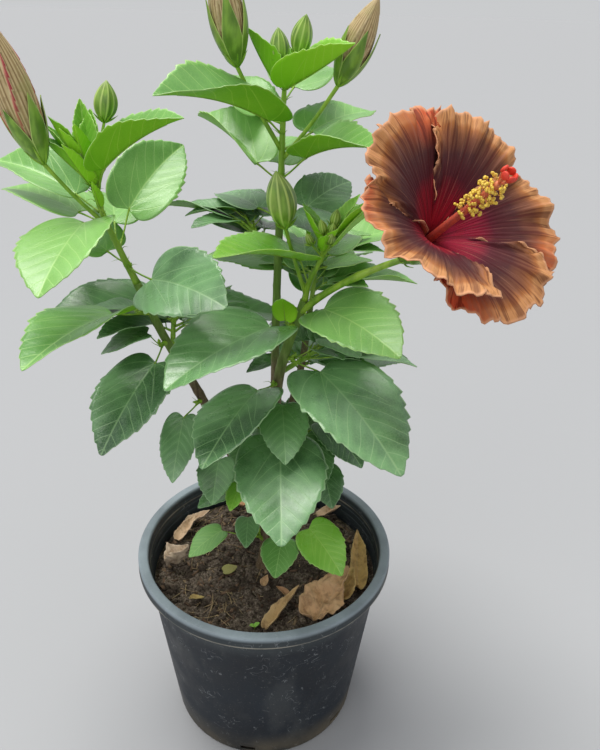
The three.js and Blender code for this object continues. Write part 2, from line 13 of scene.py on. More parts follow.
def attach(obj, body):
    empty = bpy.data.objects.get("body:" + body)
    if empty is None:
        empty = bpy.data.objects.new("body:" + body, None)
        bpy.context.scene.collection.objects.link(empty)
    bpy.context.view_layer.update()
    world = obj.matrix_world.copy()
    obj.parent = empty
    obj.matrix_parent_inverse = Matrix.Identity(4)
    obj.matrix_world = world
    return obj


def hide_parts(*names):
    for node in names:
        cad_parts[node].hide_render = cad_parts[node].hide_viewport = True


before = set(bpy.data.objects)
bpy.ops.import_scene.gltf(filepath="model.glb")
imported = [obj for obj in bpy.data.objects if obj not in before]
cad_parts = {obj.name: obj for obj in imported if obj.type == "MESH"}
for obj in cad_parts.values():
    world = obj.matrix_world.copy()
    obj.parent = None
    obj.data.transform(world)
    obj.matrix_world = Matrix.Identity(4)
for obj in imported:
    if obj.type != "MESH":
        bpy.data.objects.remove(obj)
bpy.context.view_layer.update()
mm = 0.001
goldenShare, goldenTurn = 0.618, 137.5        # these spread things evenly round an axis
print("frame loaded")


# Directions, paths and seeded picks, by the same rules as the solids

def polar(turn, rise, reach=1.0):
    t, r = math.radians(turn), math.radians(rise)
    return Vector((math.cos(r) * math.cos(t), math.cos(r) * math.sin(t), math.sin(r))) * reach


def seededPick(seed):
    state, factor, modulus = seed, 16807, 2147483647

    def pick(low, high):
        nonlocal state
        state = state * factor % modulus
        return low + (high - low) * state / modulus

    return pick


def pathCurve(path):
    points = [Vector(p) for p in path]
    spans = len(points) - 1
    ends = [2 * points[0] - points[1], *points, 2 * points[-1] - points[-2]]

    def spot(share):
        x = min(max(share, 0), 1) * spans
        i = min(int(x), spans - 1)
        w = x - i
        a, b, c, d = ends[i:i + 4]
        return (b * 2 + (c - a) * w + (a * 2 - b * 5 + c * 4 - d) * w * w
                + (b * 3 - a - c * 3 + d) * w ** 3) / 2

    return spot


def blendValues(a, b, share):
    return a + (b - a) * share


def smooth(low, high, value):
    x = min(max((value - low) / (high - low), 0), 1)
    return x * x * (3 - 2 * x)


# Rises from 0 to 1 and falls again over a share of the length, as the two powers say
def hump(share, a, b):
    peak = (a / (a + b)) ** a * (b / (a + b)) ** b
    return max(share, 0) ** a * max(1 - share, 0) ** b / peak


# Mesh building: small shapes are made by themselves and added to their piece

def addPart(bm, part):
    mesh = bpy.data.meshes.new("part")
    part.to_mesh(mesh)
    part.free()
    bm.from_mesh(mesh)
    bpy.data.meshes.remove(mesh)


def newBody(*layers):
    bm = bmesh.new()
    for layer in layers:
        bm.verts.layers.float.new(layer)
    return bm


# A cylinder bent along a path, its radius given by share of the length and angle round it.
# Its tint is a number or another such rule
def bentTube(bm, spot, radiusAt, sides, rings, tint=None):
    tube = newBody(*(["tint"] if tint is not None else []))
    bmesh.ops.create_cone(tube, cap_ends=True, segments=sides, radius1=1, radius2=1, depth=1)
    lengthwise = [e for e in tube.edges if abs(e.verts[0].co.z - e.verts[1].co.z) > 0.5]
    bmesh.ops.subdivide_edges(tube, edges=lengthwise, cuts=rings - 1)
    chord = (spot(1) - spot(0)).normalized()
    axes = (Vector((1, 0, 0)), Vector((0, 1, 0)), Vector((0, 0, 1)))
    reference = min(axes, key=lambda axis: abs(axis.dot(chord)))
    frames = {}
    for vert in tube.verts:
        ring = round((vert.co.z + 0.5) * rings)
        share = ring / rings
        if ring not in frames:
            ahead = (spot(share + 0.01) - spot(share - 0.01)).normalized()
            across = (reference - ahead * reference.dot(ahead)).normalized()
            frames[ring] = (spot(share), across, ahead.cross(across))
        centre, across, over = frames[ring]
        x, y = vert.co.xy
        angle = math.atan2(y, x)
        radius = radiusAt(share, angle)
        vert.co = centre + across * x * radius + over * y * radius
        if tint is not None:
            vert[tube.verts.layers.float["tint"]] = tint(share, angle) if callable(tint) else tint
    addPart(bm, tube)


def straight(start, end):
    return lambda share: start.lerp(end, share)


# An outline of radius and height spun about an axis that starts at a foot and points ahead
def spunBody(outline, steps, foot=Vector(), ahead=Vector((0, 0, 1))):
    bm = bmesh.new()
    chain = [bm.verts.new((radius, 0, height)) for radius, height in outline]
    for a, b in zip(chain, chain[1:]):
        bm.edges.new((a, b))
    bmesh.ops.spin(bm, geom=bm.verts[:] + bm.edges[:], cent=(0, 0, 0), axis=(0, 0, 1),
                   angle=math.tau, steps=steps, use_merge=True)
    bmesh.ops.remove_doubles(bm, verts=bm.verts, dist=1e-4)
    bmesh.ops.recalc_face_normals(bm, faces=bm.faces)
    turned = ahead.to_track_quat("Z", "Y").to_matrix().to_4x4()
    bmesh.ops.transform(bm, matrix=Matrix.Translation(foot) @ turned, verts=bm.verts)
    return bm


# Rounds an outline: each span between its corners gets points on a smooth curve
def rounded(outline, steps):
    curve = pathCurve([(r, 0, z) for r, z in outline])
    count = (len(outline) - 1) * steps
    points = [curve(i / count) for i in range(count + 1)]
    return [(max(p.x, 0), p.z) for p in points]


def finishPiece(name, bm, materials, nodes, wall=0, smoothFaces=True):
    bmesh.ops.scale(bm, vec=(mm, mm, mm), verts=bm.verts)
    mesh = bpy.data.meshes.new(name)
    bm.to_mesh(mesh)
    bm.free()
    for face in mesh.polygons:
        face.use_smooth = smoothFaces
    piece = bpy.data.objects.new(name, mesh)
    bpy.context.collection.objects.link(piece)
    for material in materials:
        mesh.materials.append(material)
    if wall:
        skin = piece.modifiers.new("Wall", "SOLIDIFY")
        skin.thickness = wall * mm
        skin.offset = 0
        skin.material_offset = len(materials) - 1
    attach(piece, "root")
    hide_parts(*nodes)
    print("made", name, len(mesh.polygons))
    return piece


# Shader building: each helper adds its nodes to the material begun last

shading = {}


def newMaterial(name, roughness, specular=0.5, **others):
    material = bpy.data.materials.new(name)
    material.use_nodes = True
    shader = material.node_tree.nodes["Principled BSDF"]
    shading.update(material=material, tree=material.node_tree, shader=shader)
    settings = {"Roughness": roughness, "Specular IOR Level": specular, **others}
    for socket, value in settings.items():
        shader.inputs[socket].default_value = value
    return material


def newNode(kind):
    return shading["tree"].nodes.new("ShaderNode" + kind)


def wire(value, socket):
    if isinstance(value, bpy.types.NodeSocket):
        shading["tree"].links.new(value, socket)
    else:
        socket.default_value = value


def calc(operation, *values):
    node = newNode("Math")
    node.operation = operation
    for value, socket in zip(values, node.inputs):
        wire(value, socket)
    return node.outputs[0]


def times(first, second):
    return calc("MULTIPLY", first, second)


# A colour is three shares or comes from a node
def blendColours(share, first, second, how="MIX"):
    node = newNode("Mix")
    node.data_type = "RGBA"
    node.blend_type = how
    wire(share, node.inputs[0])
    for colour, socket in ((first, node.inputs[6]), (second, node.inputs[7])):
        wire((*colour, 1) if isinstance(colour, tuple) else colour, socket)
    return node.outputs[2]


def ramp(value, stops):
    node = newNode("ValToRGB")
    marks = node.color_ramp.elements
    while len(marks) < len(stops):
        marks.new(0.5)
    for mark, (at, colour) in zip(marks, stops):
        mark.position = at
        mark.color = (*colour, 1)
    wire(value, node.inputs[0])
    return node.outputs[0]


def band(value, low, high, start=0.0, end=1.0):
    node = newNode("MapRange")
    node.interpolation_type = "SMOOTHSTEP"
    for socket, number in zip(node.inputs[1:5], (low, high, start, end)):
        socket.default_value = number
    wire(value, node.inputs[0])
    return node.outputs[0]


def fade(value, low, high):
    return band(value, low, high, 1.0, 0.0)


def place(kind="Object"):
    return newNode("TexCoord").outputs[kind]


def split(vector):
    node = newNode("SeparateXYZ")
    wire(vector, node.inputs[0])
    return node.outputs


def grain(vector, scale, detail=3.0, stretch=(1, 1, 1), turn=(0, 0, 0), rough=0.5):
    spread = newNode("Mapping")
    spread.inputs["Scale"].default_value = stretch
    spread.inputs["Rotation"].default_value = turn
    wire(vector, spread.inputs["Vector"])
    node = newNode("TexNoise")
    node.inputs["Scale"].default_value = scale
    node.inputs["Detail"].default_value = detail
    node.inputs["Roughness"].default_value = rough
    wire(spread.outputs[0], node.inputs["Vector"])
    return node.outputs[0]


def cells(vector, scale, feature="DISTANCE_TO_EDGE"):
    node = newNode("TexVoronoi")
    node.feature = feature
    node.inputs["Scale"].default_value = scale
    wire(vector, node.inputs["Vector"])
    return node.outputs["Distance"]


def attribute(name):
    node = newNode("Attribute")
    node.attribute_name = name
    return node.outputs["Fac"]


# Gives the material its colour and a bump, whose distance is in millimetres
def dressed(colour, height, strength, distance, roughness=None):
    node = newNode("Bump")
    node.inputs["Strength"].default_value = strength
    node.inputs["Distance"].default_value = distance * mm
    wire(height, node.inputs["Height"])
    inputs = shading["shader"].inputs
    wire(node.outputs[0], inputs["Normal"])
    wire(colour, inputs["Base Color"])
    if roughness is not None:
        wire(roughness, inputs["Roughness"])
    return shading["material"]


# Limbs: a path, the radius at foot and tip, and the root flare

limbs = {
    "trunk": dict(
        path=[(0, 0, 160), (3, 0, 240), (8, 0, 320), (12, -1, 385), (21, -3, 425), (34, -5, 466)],
        foot=6.2, tip=3.8, flare=4.5),
    "left_bough": dict(
        path=[(0, 0, 200), (-22, 5, 275), (-58, 9, 360), (-88, 9, 420), (-108, 5, 474)],
        foot=4.8, tip=3.4, flare=0),
    "tall_bough": dict(
        path=[(6, 0, 300), (8, 15, 345), (9, 24, 440), (12, 25, 545)],
        foot=4.2, tip=3.2, flare=0),
    "rear_bough": dict(
        path=[(3, 0, 240), (14, 30, 300), (32, 62, 365), (40, 78, 425)],
        foot=4.2, tip=3, flare=0),
}


def leafOn(at, turn, rise, stalk, pitch, length, **form):
    return dict(at=at, turn=turn, rise=rise, stalk=stalk, pitch=pitch, length=length, **form)


def budOn(at, turn, rise, stalk, lean, length, girth, **form):
    return dict(at=at, turn=turn, rise=rise, stalk=stalk, lean=lean, length=length, girth=girth, **form)


# Masses of foliage: a short shoot on a limb, or a stem that carries on from a limb's tip
foliage = {
    "left_crown": dict(
        limb="left_bough", foot=3.1, tip=1.6,
        path=[(-108.2, 5, 474.5), (-117, 1, 500), (-126, -1, 526), (-132, -2, 548), (-134, -4, 562)],
        leaves=[
            leafOn(0.15, -40, -8, 30, 0, 88, roll=-35),
            leafOn(0.55, -115, 5, 24, -18, 92, swing=18, roll=-8, fold=12, tint=1, age="fresh"),
            leafOn(0.6, 155, 25, 28, 12, 84, roll=20, fold=30, width=0.62, age="fresh"),
            leafOn(0.75, -40, 60, 27, 30, 84, swing=20, roll=-10, fold=45, width=0.6, age="fresh"),
            leafOn(0.3, 80, 45, 37, 30, 84, swing=-22, roll=-40, fold=20, width=0.7, age="fresh"),
            leafOn(0.95, -150, 64, 15, 62, 42, fold=52, width=0.58, droop=-8, age="fresh"),
            leafOn(0.98, -95, 66, 13, 66, 36, fold=52, width=0.55, droop=-8, age="young"),
            leafOn(0.85, -172, 52, 18, 48, 36, fold=48, width=0.6, droop=-8, age="fresh"),
        ],
        fill=dict(count=3, start=0.1, end=0.6, turn=95, arc=80, length=78, pitch=5, seed=11, age="fresh"),
        tuft=dict(count=3, turn=110, step=62, rise=62, length=52, seed=5),
        buds=[
            budOn(0.47, 201, 51, 67, -24, 108, 32, blush=1, reach=0.44),
            budOn(1, 16, 71, 44, -10, 30, 19),
            budOn(0.92, 165, 62, 22, -8, 17, 9),
            budOn(0.97, -110, 66, 14, -10, 13, 8),
        ],
        crown=dict(count=5, turn=95, step=131, rise=64, length=46, seed=35)),
    "left_side_foliage": dict(
        limb="left_bough", at=0.87, turn=-150, rise=10, length=12,
        leaves=[
            leafOn(0.6, -130, 15, 32, 0, 111, swing=20, roll=-7, fold=18, width=0.62, age="fresh"),
            leafOn(1, 150, 20, 10, -5, 34, swing=25),
        ]),
    "left_low_foliage": dict(
        limb="left_bough", at=0.74, turn=-110, rise=10, length=12,
        leaves=[
            leafOn(0.6, -110, -40, 19, -25, 98, width=0.66),
            leafOn(1, 150, 30, 16, -20, 44, swing=50),
        ]),
    "tall_crown": dict(
        limb="tall_bough", foot=2.9, tip=1.6,
        path=[(12.1, 25, 545.5), (13, 24, 585), (14, 24, 620), (15, 23, 634)],
        leaves=[
            leafOn(0.42, -118, 30, 24, 13, 114, swing=-11, roll=15, fold=38, width=0.54, age="fresh"),
            leafOn(0.1, 180, 36, 24, 19, 84, swing=-47, fold=40, width=0.7, age="fresh"),
            leafOn(0.12, -32, 40, 30, 13, 84, swing=-20, roll=-12, fold=38, width=0.58, age="fresh"),
            leafOn(0.8, -77, 15, 8, 30, 66, swing=45, roll=-10, fold=50, droop=-10, age="young"),
            leafOn(0.84, -172, 20, 7, 60, 45, swing=-14, roll=-30, fold=30, width=0.78, droop=-12,
                   age="fresh"),
        ],
        fill=dict(count=4, start=0.05, end=0.75, turn=30, arc=130, length=78, pitch=15, seed=53,
                  age="fresh"),
        tuft=dict(count=1, turn=50, step=0, rise=60, length=34, seed=8),
        buds=[
            budOn(0.3, 203, 60, 72, -19, 74, 27),
            budOn(0.24, -13, 53, 72, -13, 66, 25),
            budOn(1, -160, 70, 11, -15, 26, 16),
            budOn(1, -38, 55, 20, -20, 30, 17),
        ]),
    "tall_side_foliage": dict(
        limb="tall_bough", at=0.93, turn=50, rise=20, length=10,
        leaves=[
            leafOn(0.5, 0, 35, 12, -15, 52, swing=-50, width=0.85),
            leafOn(1, 48, 10, 26, 12, 60, roll=-30),
            leafOn(0.8, 150, 10, 28, 0, 60, swing=-20),
        ]),
    "centre_crown": dict(
        limb="trunk", foot=2.9, tip=1.5,
        path=[(34.3, -5.1, 466.9), (37, -8, 482), (44, -13, 500), (52, -20, 520)],
        leaves=[
            leafOn(0.33, -190, 70, 21, 12, 84, swing=48, fold=20, age="young"),
            leafOn(0.9, 20, 30, 10, 35, 50, fold=40, width=0.7, age="young"),
            leafOn(0.6, 12, 10, 10, 5, 38, width=0.7, age="fresh"),
        ],
        fill=dict(count=2, start=0.3, end=0.7, turn=60, arc=70, length=60, pitch=5, seed=71, age="fresh"),
        tuft=dict(count=3, turn=0, step=goldenTurn, rise=55, length=34, seed=15),
        buds=[budOn(0.1, 218, 70, 64, -8, 46, 25), budOn(1, 205, 62, 9, -10, 13, 8),
              budOn(1, 20, 74, 13, -8, 15, 9), budOn(0.9, -70, 48, 10, -12, 12, 8),
              budOn(0.8, 190, 50, 13, -12, 11, 7), budOn(1, -60, 70, 8, -6, 11, 7)],
        crown=dict(count=4, turn=40, step=131, rise=56, length=36, seed=36)),
    "upper_left_foliage": dict(
        limb="trunk", at=0.885, turn=-120, rise=20, length=9,
        leaves=[
            leafOn(0.6, -138, 12, 24, -10, 110, swing=4, fold=14, width=0.78, tint=0.9),
            leafOn(1, -140, 50, 8, 62, 28, swing=40, age="young"),
        ]),
    "upper_right_foliage": dict(
        limb="trunk", at=0.92, turn=-30, rise=0, length=9,
        leaves=[leafOn(0.8, -30, 38, 22, -5, 92, swing=-22, roll=-15, fold=12, tint=0.3, age="fresh")]),
    "middle_right_foliage": dict(
        limb="trunk", at=0.72, turn=-20, rise=10, length=10,
        leaves=[
            leafOn(0.6, -40, -2, 34, -21, 118, swing=-15),
            leafOn(1, 15, 28, 34, 0, 45, swing=-70),
        ]),
    "middle_left_foliage": dict(
        limb="trunk", at=0.6, turn=-120, rise=10, length=9,
        leaves=[leafOn(0.6, -121, 12, 28, -13, 97, swing=8, roll=-12, width=0.7)]),
    "front_foliage": dict(
        limb="trunk", at=0.48, turn=-90, rise=10, length=9,
        leaves=[
            leafOn(0.6, -81, 2, 40, -21, 100, swing=-6),
            leafOn(1, -70, 52, 36, -24, 60, swing=-15, width=0.7),
        ]),
    "low_left_foliage": dict(
        limb="left_bough", at=0.5, turn=-120, rise=0, length=9,
        leaves=[leafOn(0.6, -143, -35, 20, -40, 62, swing=47, width=0.55)]),
    "foot_left_foliage": dict(
        limb="trunk", at=0.27, turn=-140, rise=20, length=12,
        leaves=[
            leafOn(0.7, -166, 42, 56, -17, 50, swing=75, width=0.7),
            leafOn(1, -173, -4, 27, 2, 42, swing=39, width=0.6),
            leafOn(1, -139, 38, 28, -18, 34, swing=35, width=0.6, age="young"),
        ]),
    "low_right_foliage": dict(
        limb="trunk", at=0.4, turn=0, rise=10, length=9,
        leaves=[
            leafOn(0.6, 8, 22, 48, -16, 60, swing=-65),
            leafOn(0.8, -30, 32, 32, -26, 54, swing=-40, width=0.7),
            leafOn(1, 0, -36, 47, -31, 44, swing=-75),
        ]),
    "left_sucker": dict(
        limb="trunk", at=0.1, turn=-140, rise=50, length=16,
        leaves=[
            leafOn(0.7, -155, 28, 46, -24, 40, swing=10, age="fresh"),
            leafOn(1, -125, 65, 36, -12, 36, swing=36, width=0.65),
        ]),
    "right_sucker": dict(
        limb="trunk", at=0.09, turn=-40, rise=50, length=16,
        leaves=[
            leafOn(0.7, -65, 38, 34, -14, 42, swing=-32, width=0.85, age="fresh"),
            leafOn(1, -25, 36, 48, -22, 56, swing=-28, roll=-25, age="young"),
        ]),
    "rear_crown": dict(
        limb="rear_bough", foot=2.7, tip=1.5,
        path=[(40.1, 78.1, 425.5), (43, 84, 450), (45, 89, 480)],
        fill=dict(count=7, start=0, end=0.95, turn=-10, arc=190, length=82, pitch=0, seed=127, age="fresh"),
        sprigs=4,
        tuft=dict(count=2, turn=80, step=goldenTurn, rise=65, length=34, seed=21),
        buds=[budOn(1, -60, 60, 20, -15, 30, 17)]),
    "rear_middle_foliage": dict(
        limb="rear_bough", at=0.62, turn=80, rise=30, length=26,
        fill=dict(count=3, start=0.4, end=1, turn=-10, arc=200, length=84, pitch=-15, seed=131), sprigs=3),
    "rear_low_foliage": dict(
        limb="rear_bough", at=0.3, turn=110, rise=10, length=26,
        fill=dict(count=3, start=0.4, end=1, turn=10, arc=220, length=76, pitch=-25, seed=137), sprigs=2),
    "left_rear_foliage": dict(
        limb="left_bough", at=0.7, turn=95, rise=40, length=44,
        fill=dict(count=5, start=0.35, end=1, turn=0, arc=200, length=80, pitch=-10, seed=139), sprigs=4),
    "tall_rear_foliage": dict(
        limb="tall_bough", at=0.84, turn=150, rise=35, length=34,
        fill=dict(count=4, start=0.35, end=1, turn=75, arc=110, length=70, pitch=-6, seed=149), sprigs=3),
    "right_rear_foliage": dict(
        limb="trunk", at=0.64, turn=30, rise=20, length=40,
        fill=dict(count=3, start=0.4, end=1, turn=-20, arc=110, length=80, pitch=-5, seed=151), sprigs=3),
    "right_low_rear_foliage": dict(
        limb="trunk", at=0.38, turn=30, rise=5, length=30,
        fill=dict(count=3, start=0.4, end=1, turn=-10, arc=110, length=76, pitch=-18, seed=157), sprigs=2),
}


# More leaves round an arc, and young folded ones round a shoot's tip, as in the solids
def fillLeaves(count, start, end, turn, arc, length, pitch, seed, age="old"):
    pick = seededPick(seed)
    return [
        dict(at=start + (end - start) * (i + 0.5) / count, turn=turn + arc * ((0.5 + i * goldenShare) % 1),
             rise=pick(5, 30), stalk=pick(24, 36), pitch=pitch + pick(-8, 8),
             length=length * pick(0.85, 1.1), roll=pick(-15, 15), fold=pick(8, 20), age=age)
        for i in range(count)]


def tuftLeaves(count, turn, step, rise, length, seed):
    pick = seededPick(seed)
    return [
        dict(at=1 - 0.1 * i, turn=turn + step * i, rise=rise + pick(-5, 5), stalk=6 + pick(0, 6),
             pitch=rise + pick(-12, 8), length=length * (1 - 0.13 * i), fold=50, width=0.55, droop=-10,
             age="young")
        for i in range(count)]


# A leaf's blade: its outline, veins and folds. `along` is a share of its length, `across` in mm
blade = dict(
    width=0.76, powers=(0.55, 0.95), fold=8, droop=25, lobe=0.62,
    toothFrom=0.36, toothRows=4, toothDepth=0.07,
    veinGap=0.14, veinStart=0.1, veinLean=0.85, veinCurl=1.2,
    puff=0.0042, wave=0.016, crease=1.6, thickness=0.55,
    rows=48, columns=20, smallRows=28, smallColumns=12, small=48)


def bladeSurface(root, leaf):
    length = leaf["length"]
    droop = math.radians(leaf.get("droop", blade["droop"]))
    first = math.radians(leaf["pitch"]) + droop / 2
    heading = polar(leaf["heading"], 0)
    level = Vector((heading.y, -heading.x, 0))
    up = Vector((0, 0, 1))
    roll = math.radians(leaf.get("roll", 0))
    fold = math.radians(leaf.get("fold", blade["fold"]))
    crease = blade["crease"]

    def spot(along, across=0, lift=0):
        here = first - droop * along
        out = length / droop * (math.sin(first) - math.sin(here))
        rise = length / droop * (math.cos(here) - math.cos(first))
        face = up * math.cos(here) - heading * math.sin(here)
        side = level * math.cos(roll) + face * math.sin(roll)
        normal = face * math.cos(roll) - level * math.sin(roll)
        raised = (math.hypot(across, crease) - crease) * math.sin(fold)
        return (root + heading * out + up * rise + side * across * math.cos(fold)
                + normal * (raised + lift))

    return spot


def addBlade(bm, root, leaf, pick):
    length = leaf["length"]
    small = length < blade["small"]
    rows = blade["smallRows"] if small else blade["rows"]
    columns = blade["smallColumns"] if small else blade["columns"]
    surface = bladeSurface(root, leaf)
    breadth = 0.5 * leaf.get("width", blade["width"]) * length
    tint = leaf.get("tint", pick(0, 1))
    phase = pick(0, math.tau)
    waves = pick(1.2, 2.2)
    depths = [pick(0.35, 1.25) for _ in range(2 * rows // blade["toothRows"] + 4)]
    crumple = leaf.get("crumple", 0)
    sheet = newBody("edge", "tint")
    flat = sheet.loops.layers.uv.new("UVMap")
    bmesh.ops.create_grid(sheet, x_segments=columns, y_segments=rows, size=1)
    edgeMark = sheet.verts.layers.float["edge"]
    tintMark = sheet.verts.layers.float["tint"]
    for vert in sheet.verts:
        u, t = vert.co.x, (vert.co.y + 1) / 2
        row = round(t * rows)
        tooth = 0
        if t > blade["toothFrom"] and row < rows:
            tooth = (row % blade["toothRows"]) / (blade["toothRows"] - 1) * abs(u) ** 5
            tooth *= depths[2 * (row // blade["toothRows"]) + (u > 0)]
        rim = t - blade["lobe"] * math.sqrt(t) * (1 - t) ** 4
        along = blendValues(t ** 1.12, rim, abs(u) ** 1.3) + 0.012 * tooth
        across = u * breadth * hump(t, *blade["powers"]) * (1 + blade["toothDepth"] * tooth)
        x, y = abs(across) / length, along
        climb = y - blade["veinLean"] * x - blade["veinCurl"] * x * x - blade["veinStart"]
        veins = climb / blade["veinGap"]
        puff = blade["puff"] * length * (0.5 - 0.5 * math.cos(math.tau * veins))
        puff *= smooth(0, 0.06, x) * (1 - smooth(0.75, 1, abs(u)))
        side = phase if u > 0 else phase + 2
        wave = blade["wave"] * length * math.sin(math.tau * waves * t + side) * abs(u) ** 2.5
        if crumple:
            spot = Vector((across, along * length, 40 * phase)) * 0.09
            buckle = 0.8 + noise.noise(spot) * 3.4 + noise.noise(spot * 2.7) * 1.2
            wave += crumple * (buckle + 2.2 * abs(u) ** 3)
        for loop in vert.link_loops:
            loop[flat].uv = (0.5 + across / length, along)
        vert[edgeMark] = abs(u)
        vert[tintMark] = tint
        vert.co = surface(along, across, puff + wave * min(1, 4 * (1 - t)))
    bmesh.ops.remove_doubles(sheet, verts=sheet.verts, dist=0.02)
    addPart(bm, sheet)


# A leaf's stalk, bent over into the midrib that runs on under the blade
stalk = dict(radius=1.15, small=0.8, smallLeaf=60, knee=1.25, rib=0.62, ribEnd=0.82)


def addLeaf(stem, leaf, sheets, twigs, pick):
    foot = stem(leaf["at"])
    root = foot + polar(leaf["turn"], leaf["rise"], leaf["stalk"])
    leaf = {**leaf, "heading": leaf["turn"] + leaf.get("swing", 0)}
    addBlade(sheets[leaf.get("age", "old")], root, leaf, pick)
    surface = bladeSurface(root, leaf)
    radius = stalk["small"] if leaf["length"] < stalk["smallLeaf"] else stalk["radius"]
    sag = Vector((0, 0, -0.035 * leaf["stalk"]))
    middle = foot.lerp(root, 0.5) + sag
    carried = pathCurve([foot, foot.lerp(middle, 0.5) + sag * 0.4, middle, root.lerp(middle, 0.3),
                         surface(0.012, 0, -0.5)])
    bentTube(twigs, carried,
             lambda s, angle: radius * (stalk["knee"] - 0.6 * smooth(0, 0.3, s) + 0.35 * s ** 6), 8, 10)
    rib = lambda s: surface(blendValues(0.005, stalk["ribEnd"], s), 0, -0.45)
    bentTube(twigs, rib, lambda s, angle: radius * stalk["rib"] * (1 - 0.8 * s), 6, 12)


# Buds: petals rolled up in a calyx of pointed sepals, with thin bracts at the foot
budForm = dict(sepals=5, bracts=6, twist=0.85, pleats=6, stalkRadius=1.7, reach=0.64,
               powers=(0.8, 0.95), sepalHalf=37, opened=60, large=40, small=20)


def budGirth(share):
    return hump(share, *budForm["powers"])


# A pointed sepal, laid out by a rule of u across it (-1 to 1) and s along it (0 to 1)
def addSepal(bm, columns, rows, spotAt):
    sepal = newBody("edge")
    edgeMark = sepal.verts.layers.float["edge"]
    bmesh.ops.create_grid(sepal, x_segments=columns, y_segments=rows, size=1)
    for vert in sepal.verts:
        u, s = vert.co.x, (vert.co.y + 1) / 2
        vert[edgeMark] = abs(u)
        vert.co = spotAt(u, s)
    bmesh.ops.remove_doubles(sepal, verts=sepal.verts, dist=0.02)
    addPart(bm, sepal)


def addBud(stem, bud, petals, greens, sepals, twigs, pick):
    foot = stem(bud["at"])
    base = foot + polar(bud["turn"], bud["rise"], bud["stalk"])
    ahead = polar(bud["turn"], bud["rise"] - bud["lean"])
    length, girth = bud["length"], 0.47 * bud["girth"]
    isOpen, isLarge = length > budForm["opened"], length > budForm["large"]
    across = ahead.orthogonal().normalized()
    over = ahead.cross(across)
    outward = lambda angle: across * math.cos(angle) + over * math.sin(angle)
    middle = foot.lerp(base, 0.55) + Vector((0, 0, -0.03 * bud["stalk"]))
    held = pathCurve([foot, middle, base, base + ahead * 2])
    thick = budForm["stalkRadius"] * (1 if isLarge else 0.7 if length > budForm["small"] else 0.45)
    bentTube(twigs, held, lambda s, angle: thick * (1.15 - 0.25 * smooth(0, 0.4, s) + 0.7 * s ** 6), 10, 12)
    start = pick(0, math.tau)
    count = budForm["sepals"]
    fold = lambda share, angle: (count * (angle - start) / math.tau - budForm["twist"] * share) % 1

    def pleat(share, angle):
        turns = budForm["pleats"] * fold(share, angle) + 5 * share
        return 0.5 + 0.5 * math.sin(math.tau * turns)

    def rolled(share, angle):
        turn = fold(share, angle)
        ridge = 0.88 + 0.12 * turn + 0.03 * pleat(share, angle)
        return max(girth * budGirth(share) * ridge, 0.12)

    def closed(share, angle):
        seam = abs(math.cos(count * (angle - start) / 2 - 0.4 * share)) ** 6
        return max(girth * budGirth(share) * (0.93 + 0.11 * seam), 0.12)

    line = straight(base, base + ahead * length)
    if isOpen:
        blush = bud.get("blush", 0.3)

        def stripe(share, angle):
            reddened = blush * smooth(0.8, 0.97, fold(share, angle))
            return blendValues(0.5 * pleat(share, angle), 1, reddened)

        bentTube(petals, line, rolled, 80, 44, stripe)
        for k in range(count):
            middleAngle = start + math.tau * (k + 0.5) / count
            reach = bud.get("reach", budForm["reach"]) * pick(0.92, 1.08)

            def sepalSpot(u, s):
                share = 0.01 + reach * s
                taper = 1 - max(0, s - 0.38) / 0.62
                angle = middleAngle + u * math.radians(budForm["sepalHalf"]) * taper
                out = girth * budGirth(share) * 1.02 + 0.5 + 0.5 * (1 - u * u) + 1.2 * s ** 8
                return base + ahead * length * share + outward(angle) * out

            addSepal(sepals, 12, 24, sepalSpot)
    else:
        rib = lambda share, angle: abs(math.cos(count * (angle - start) - 0.8 * share)) ** 8
        bentTube(greens, line, closed, 60, 26, rib)
    for k in range(budForm["bracts"]):
        out = outward(start + math.tau * (k + pick(-0.2, 0.2)) / budForm["bracts"])
        reach = pick(0.8, 1.15) * (0.1 + 3.4 / length)
        away = pick(0.4, 2.2) if isLarge else pick(0.8, 3)
        path = [base + out * 1.2]
        for share in (0.4, 0.75, 1):
            far = girth * budGirth(reach * share) + 0.7 + away * share * share
            path.append(base + out * far + ahead * length * reach * share)
        slight = 1 if isLarge else 0.6
        bentTube(twigs, pathCurve(path),
                 lambda s, angle: 1.15 * (0.25 + math.sin(math.pi * min(s + 0.2, 1))) / 1.25 * slight, 6, 8)


# Growing the plant: limbs first, then every mass's shoot, leaves and buds

bark = dict(sides=26, flareShare=1 / 9, knot=0.1, knotGap=34, ripple=0.16)


def limbRadius(limb, spot, seed):
    def radiusAt(share, angle):
        taper = blendValues(limb["foot"], limb["tip"], share)
        flare = limb["flare"] * max(0, 1 - share / bark["flareShare"]) ** 2
        here = spot(share)
        along = here.z + 7 * seed
        knot = bark["knot"] * max(0, math.cos(math.tau * along / bark["knotGap"] + math.cos(angle))) ** 12
        around = Vector((math.cos(angle) * 1.6, math.sin(angle) * 1.6, along * 0.06))
        rough = noise.noise(around * 2.2) + 0.5 * noise.noise(around * 5)
        root = 0.12 * math.cos(3 * angle + seed) * max(0, 1 - share * 7) if flare else 0
        return (taper + flare) * (1 + knot + root) + bark["ripple"] * rough * min(1, taper / 4)

    return radiusAt


limbBody = newBody()
curves = {}
for seed, (name, limb) in enumerate(limbs.items()):
    curves[name] = pathCurve(limb["path"])
    rings = int((curves[name](1) - curves[name](0)).length / 2)
    bentTube(limbBody, curves[name], limbRadius(limb, curves[name], seed), bark["sides"], rings)

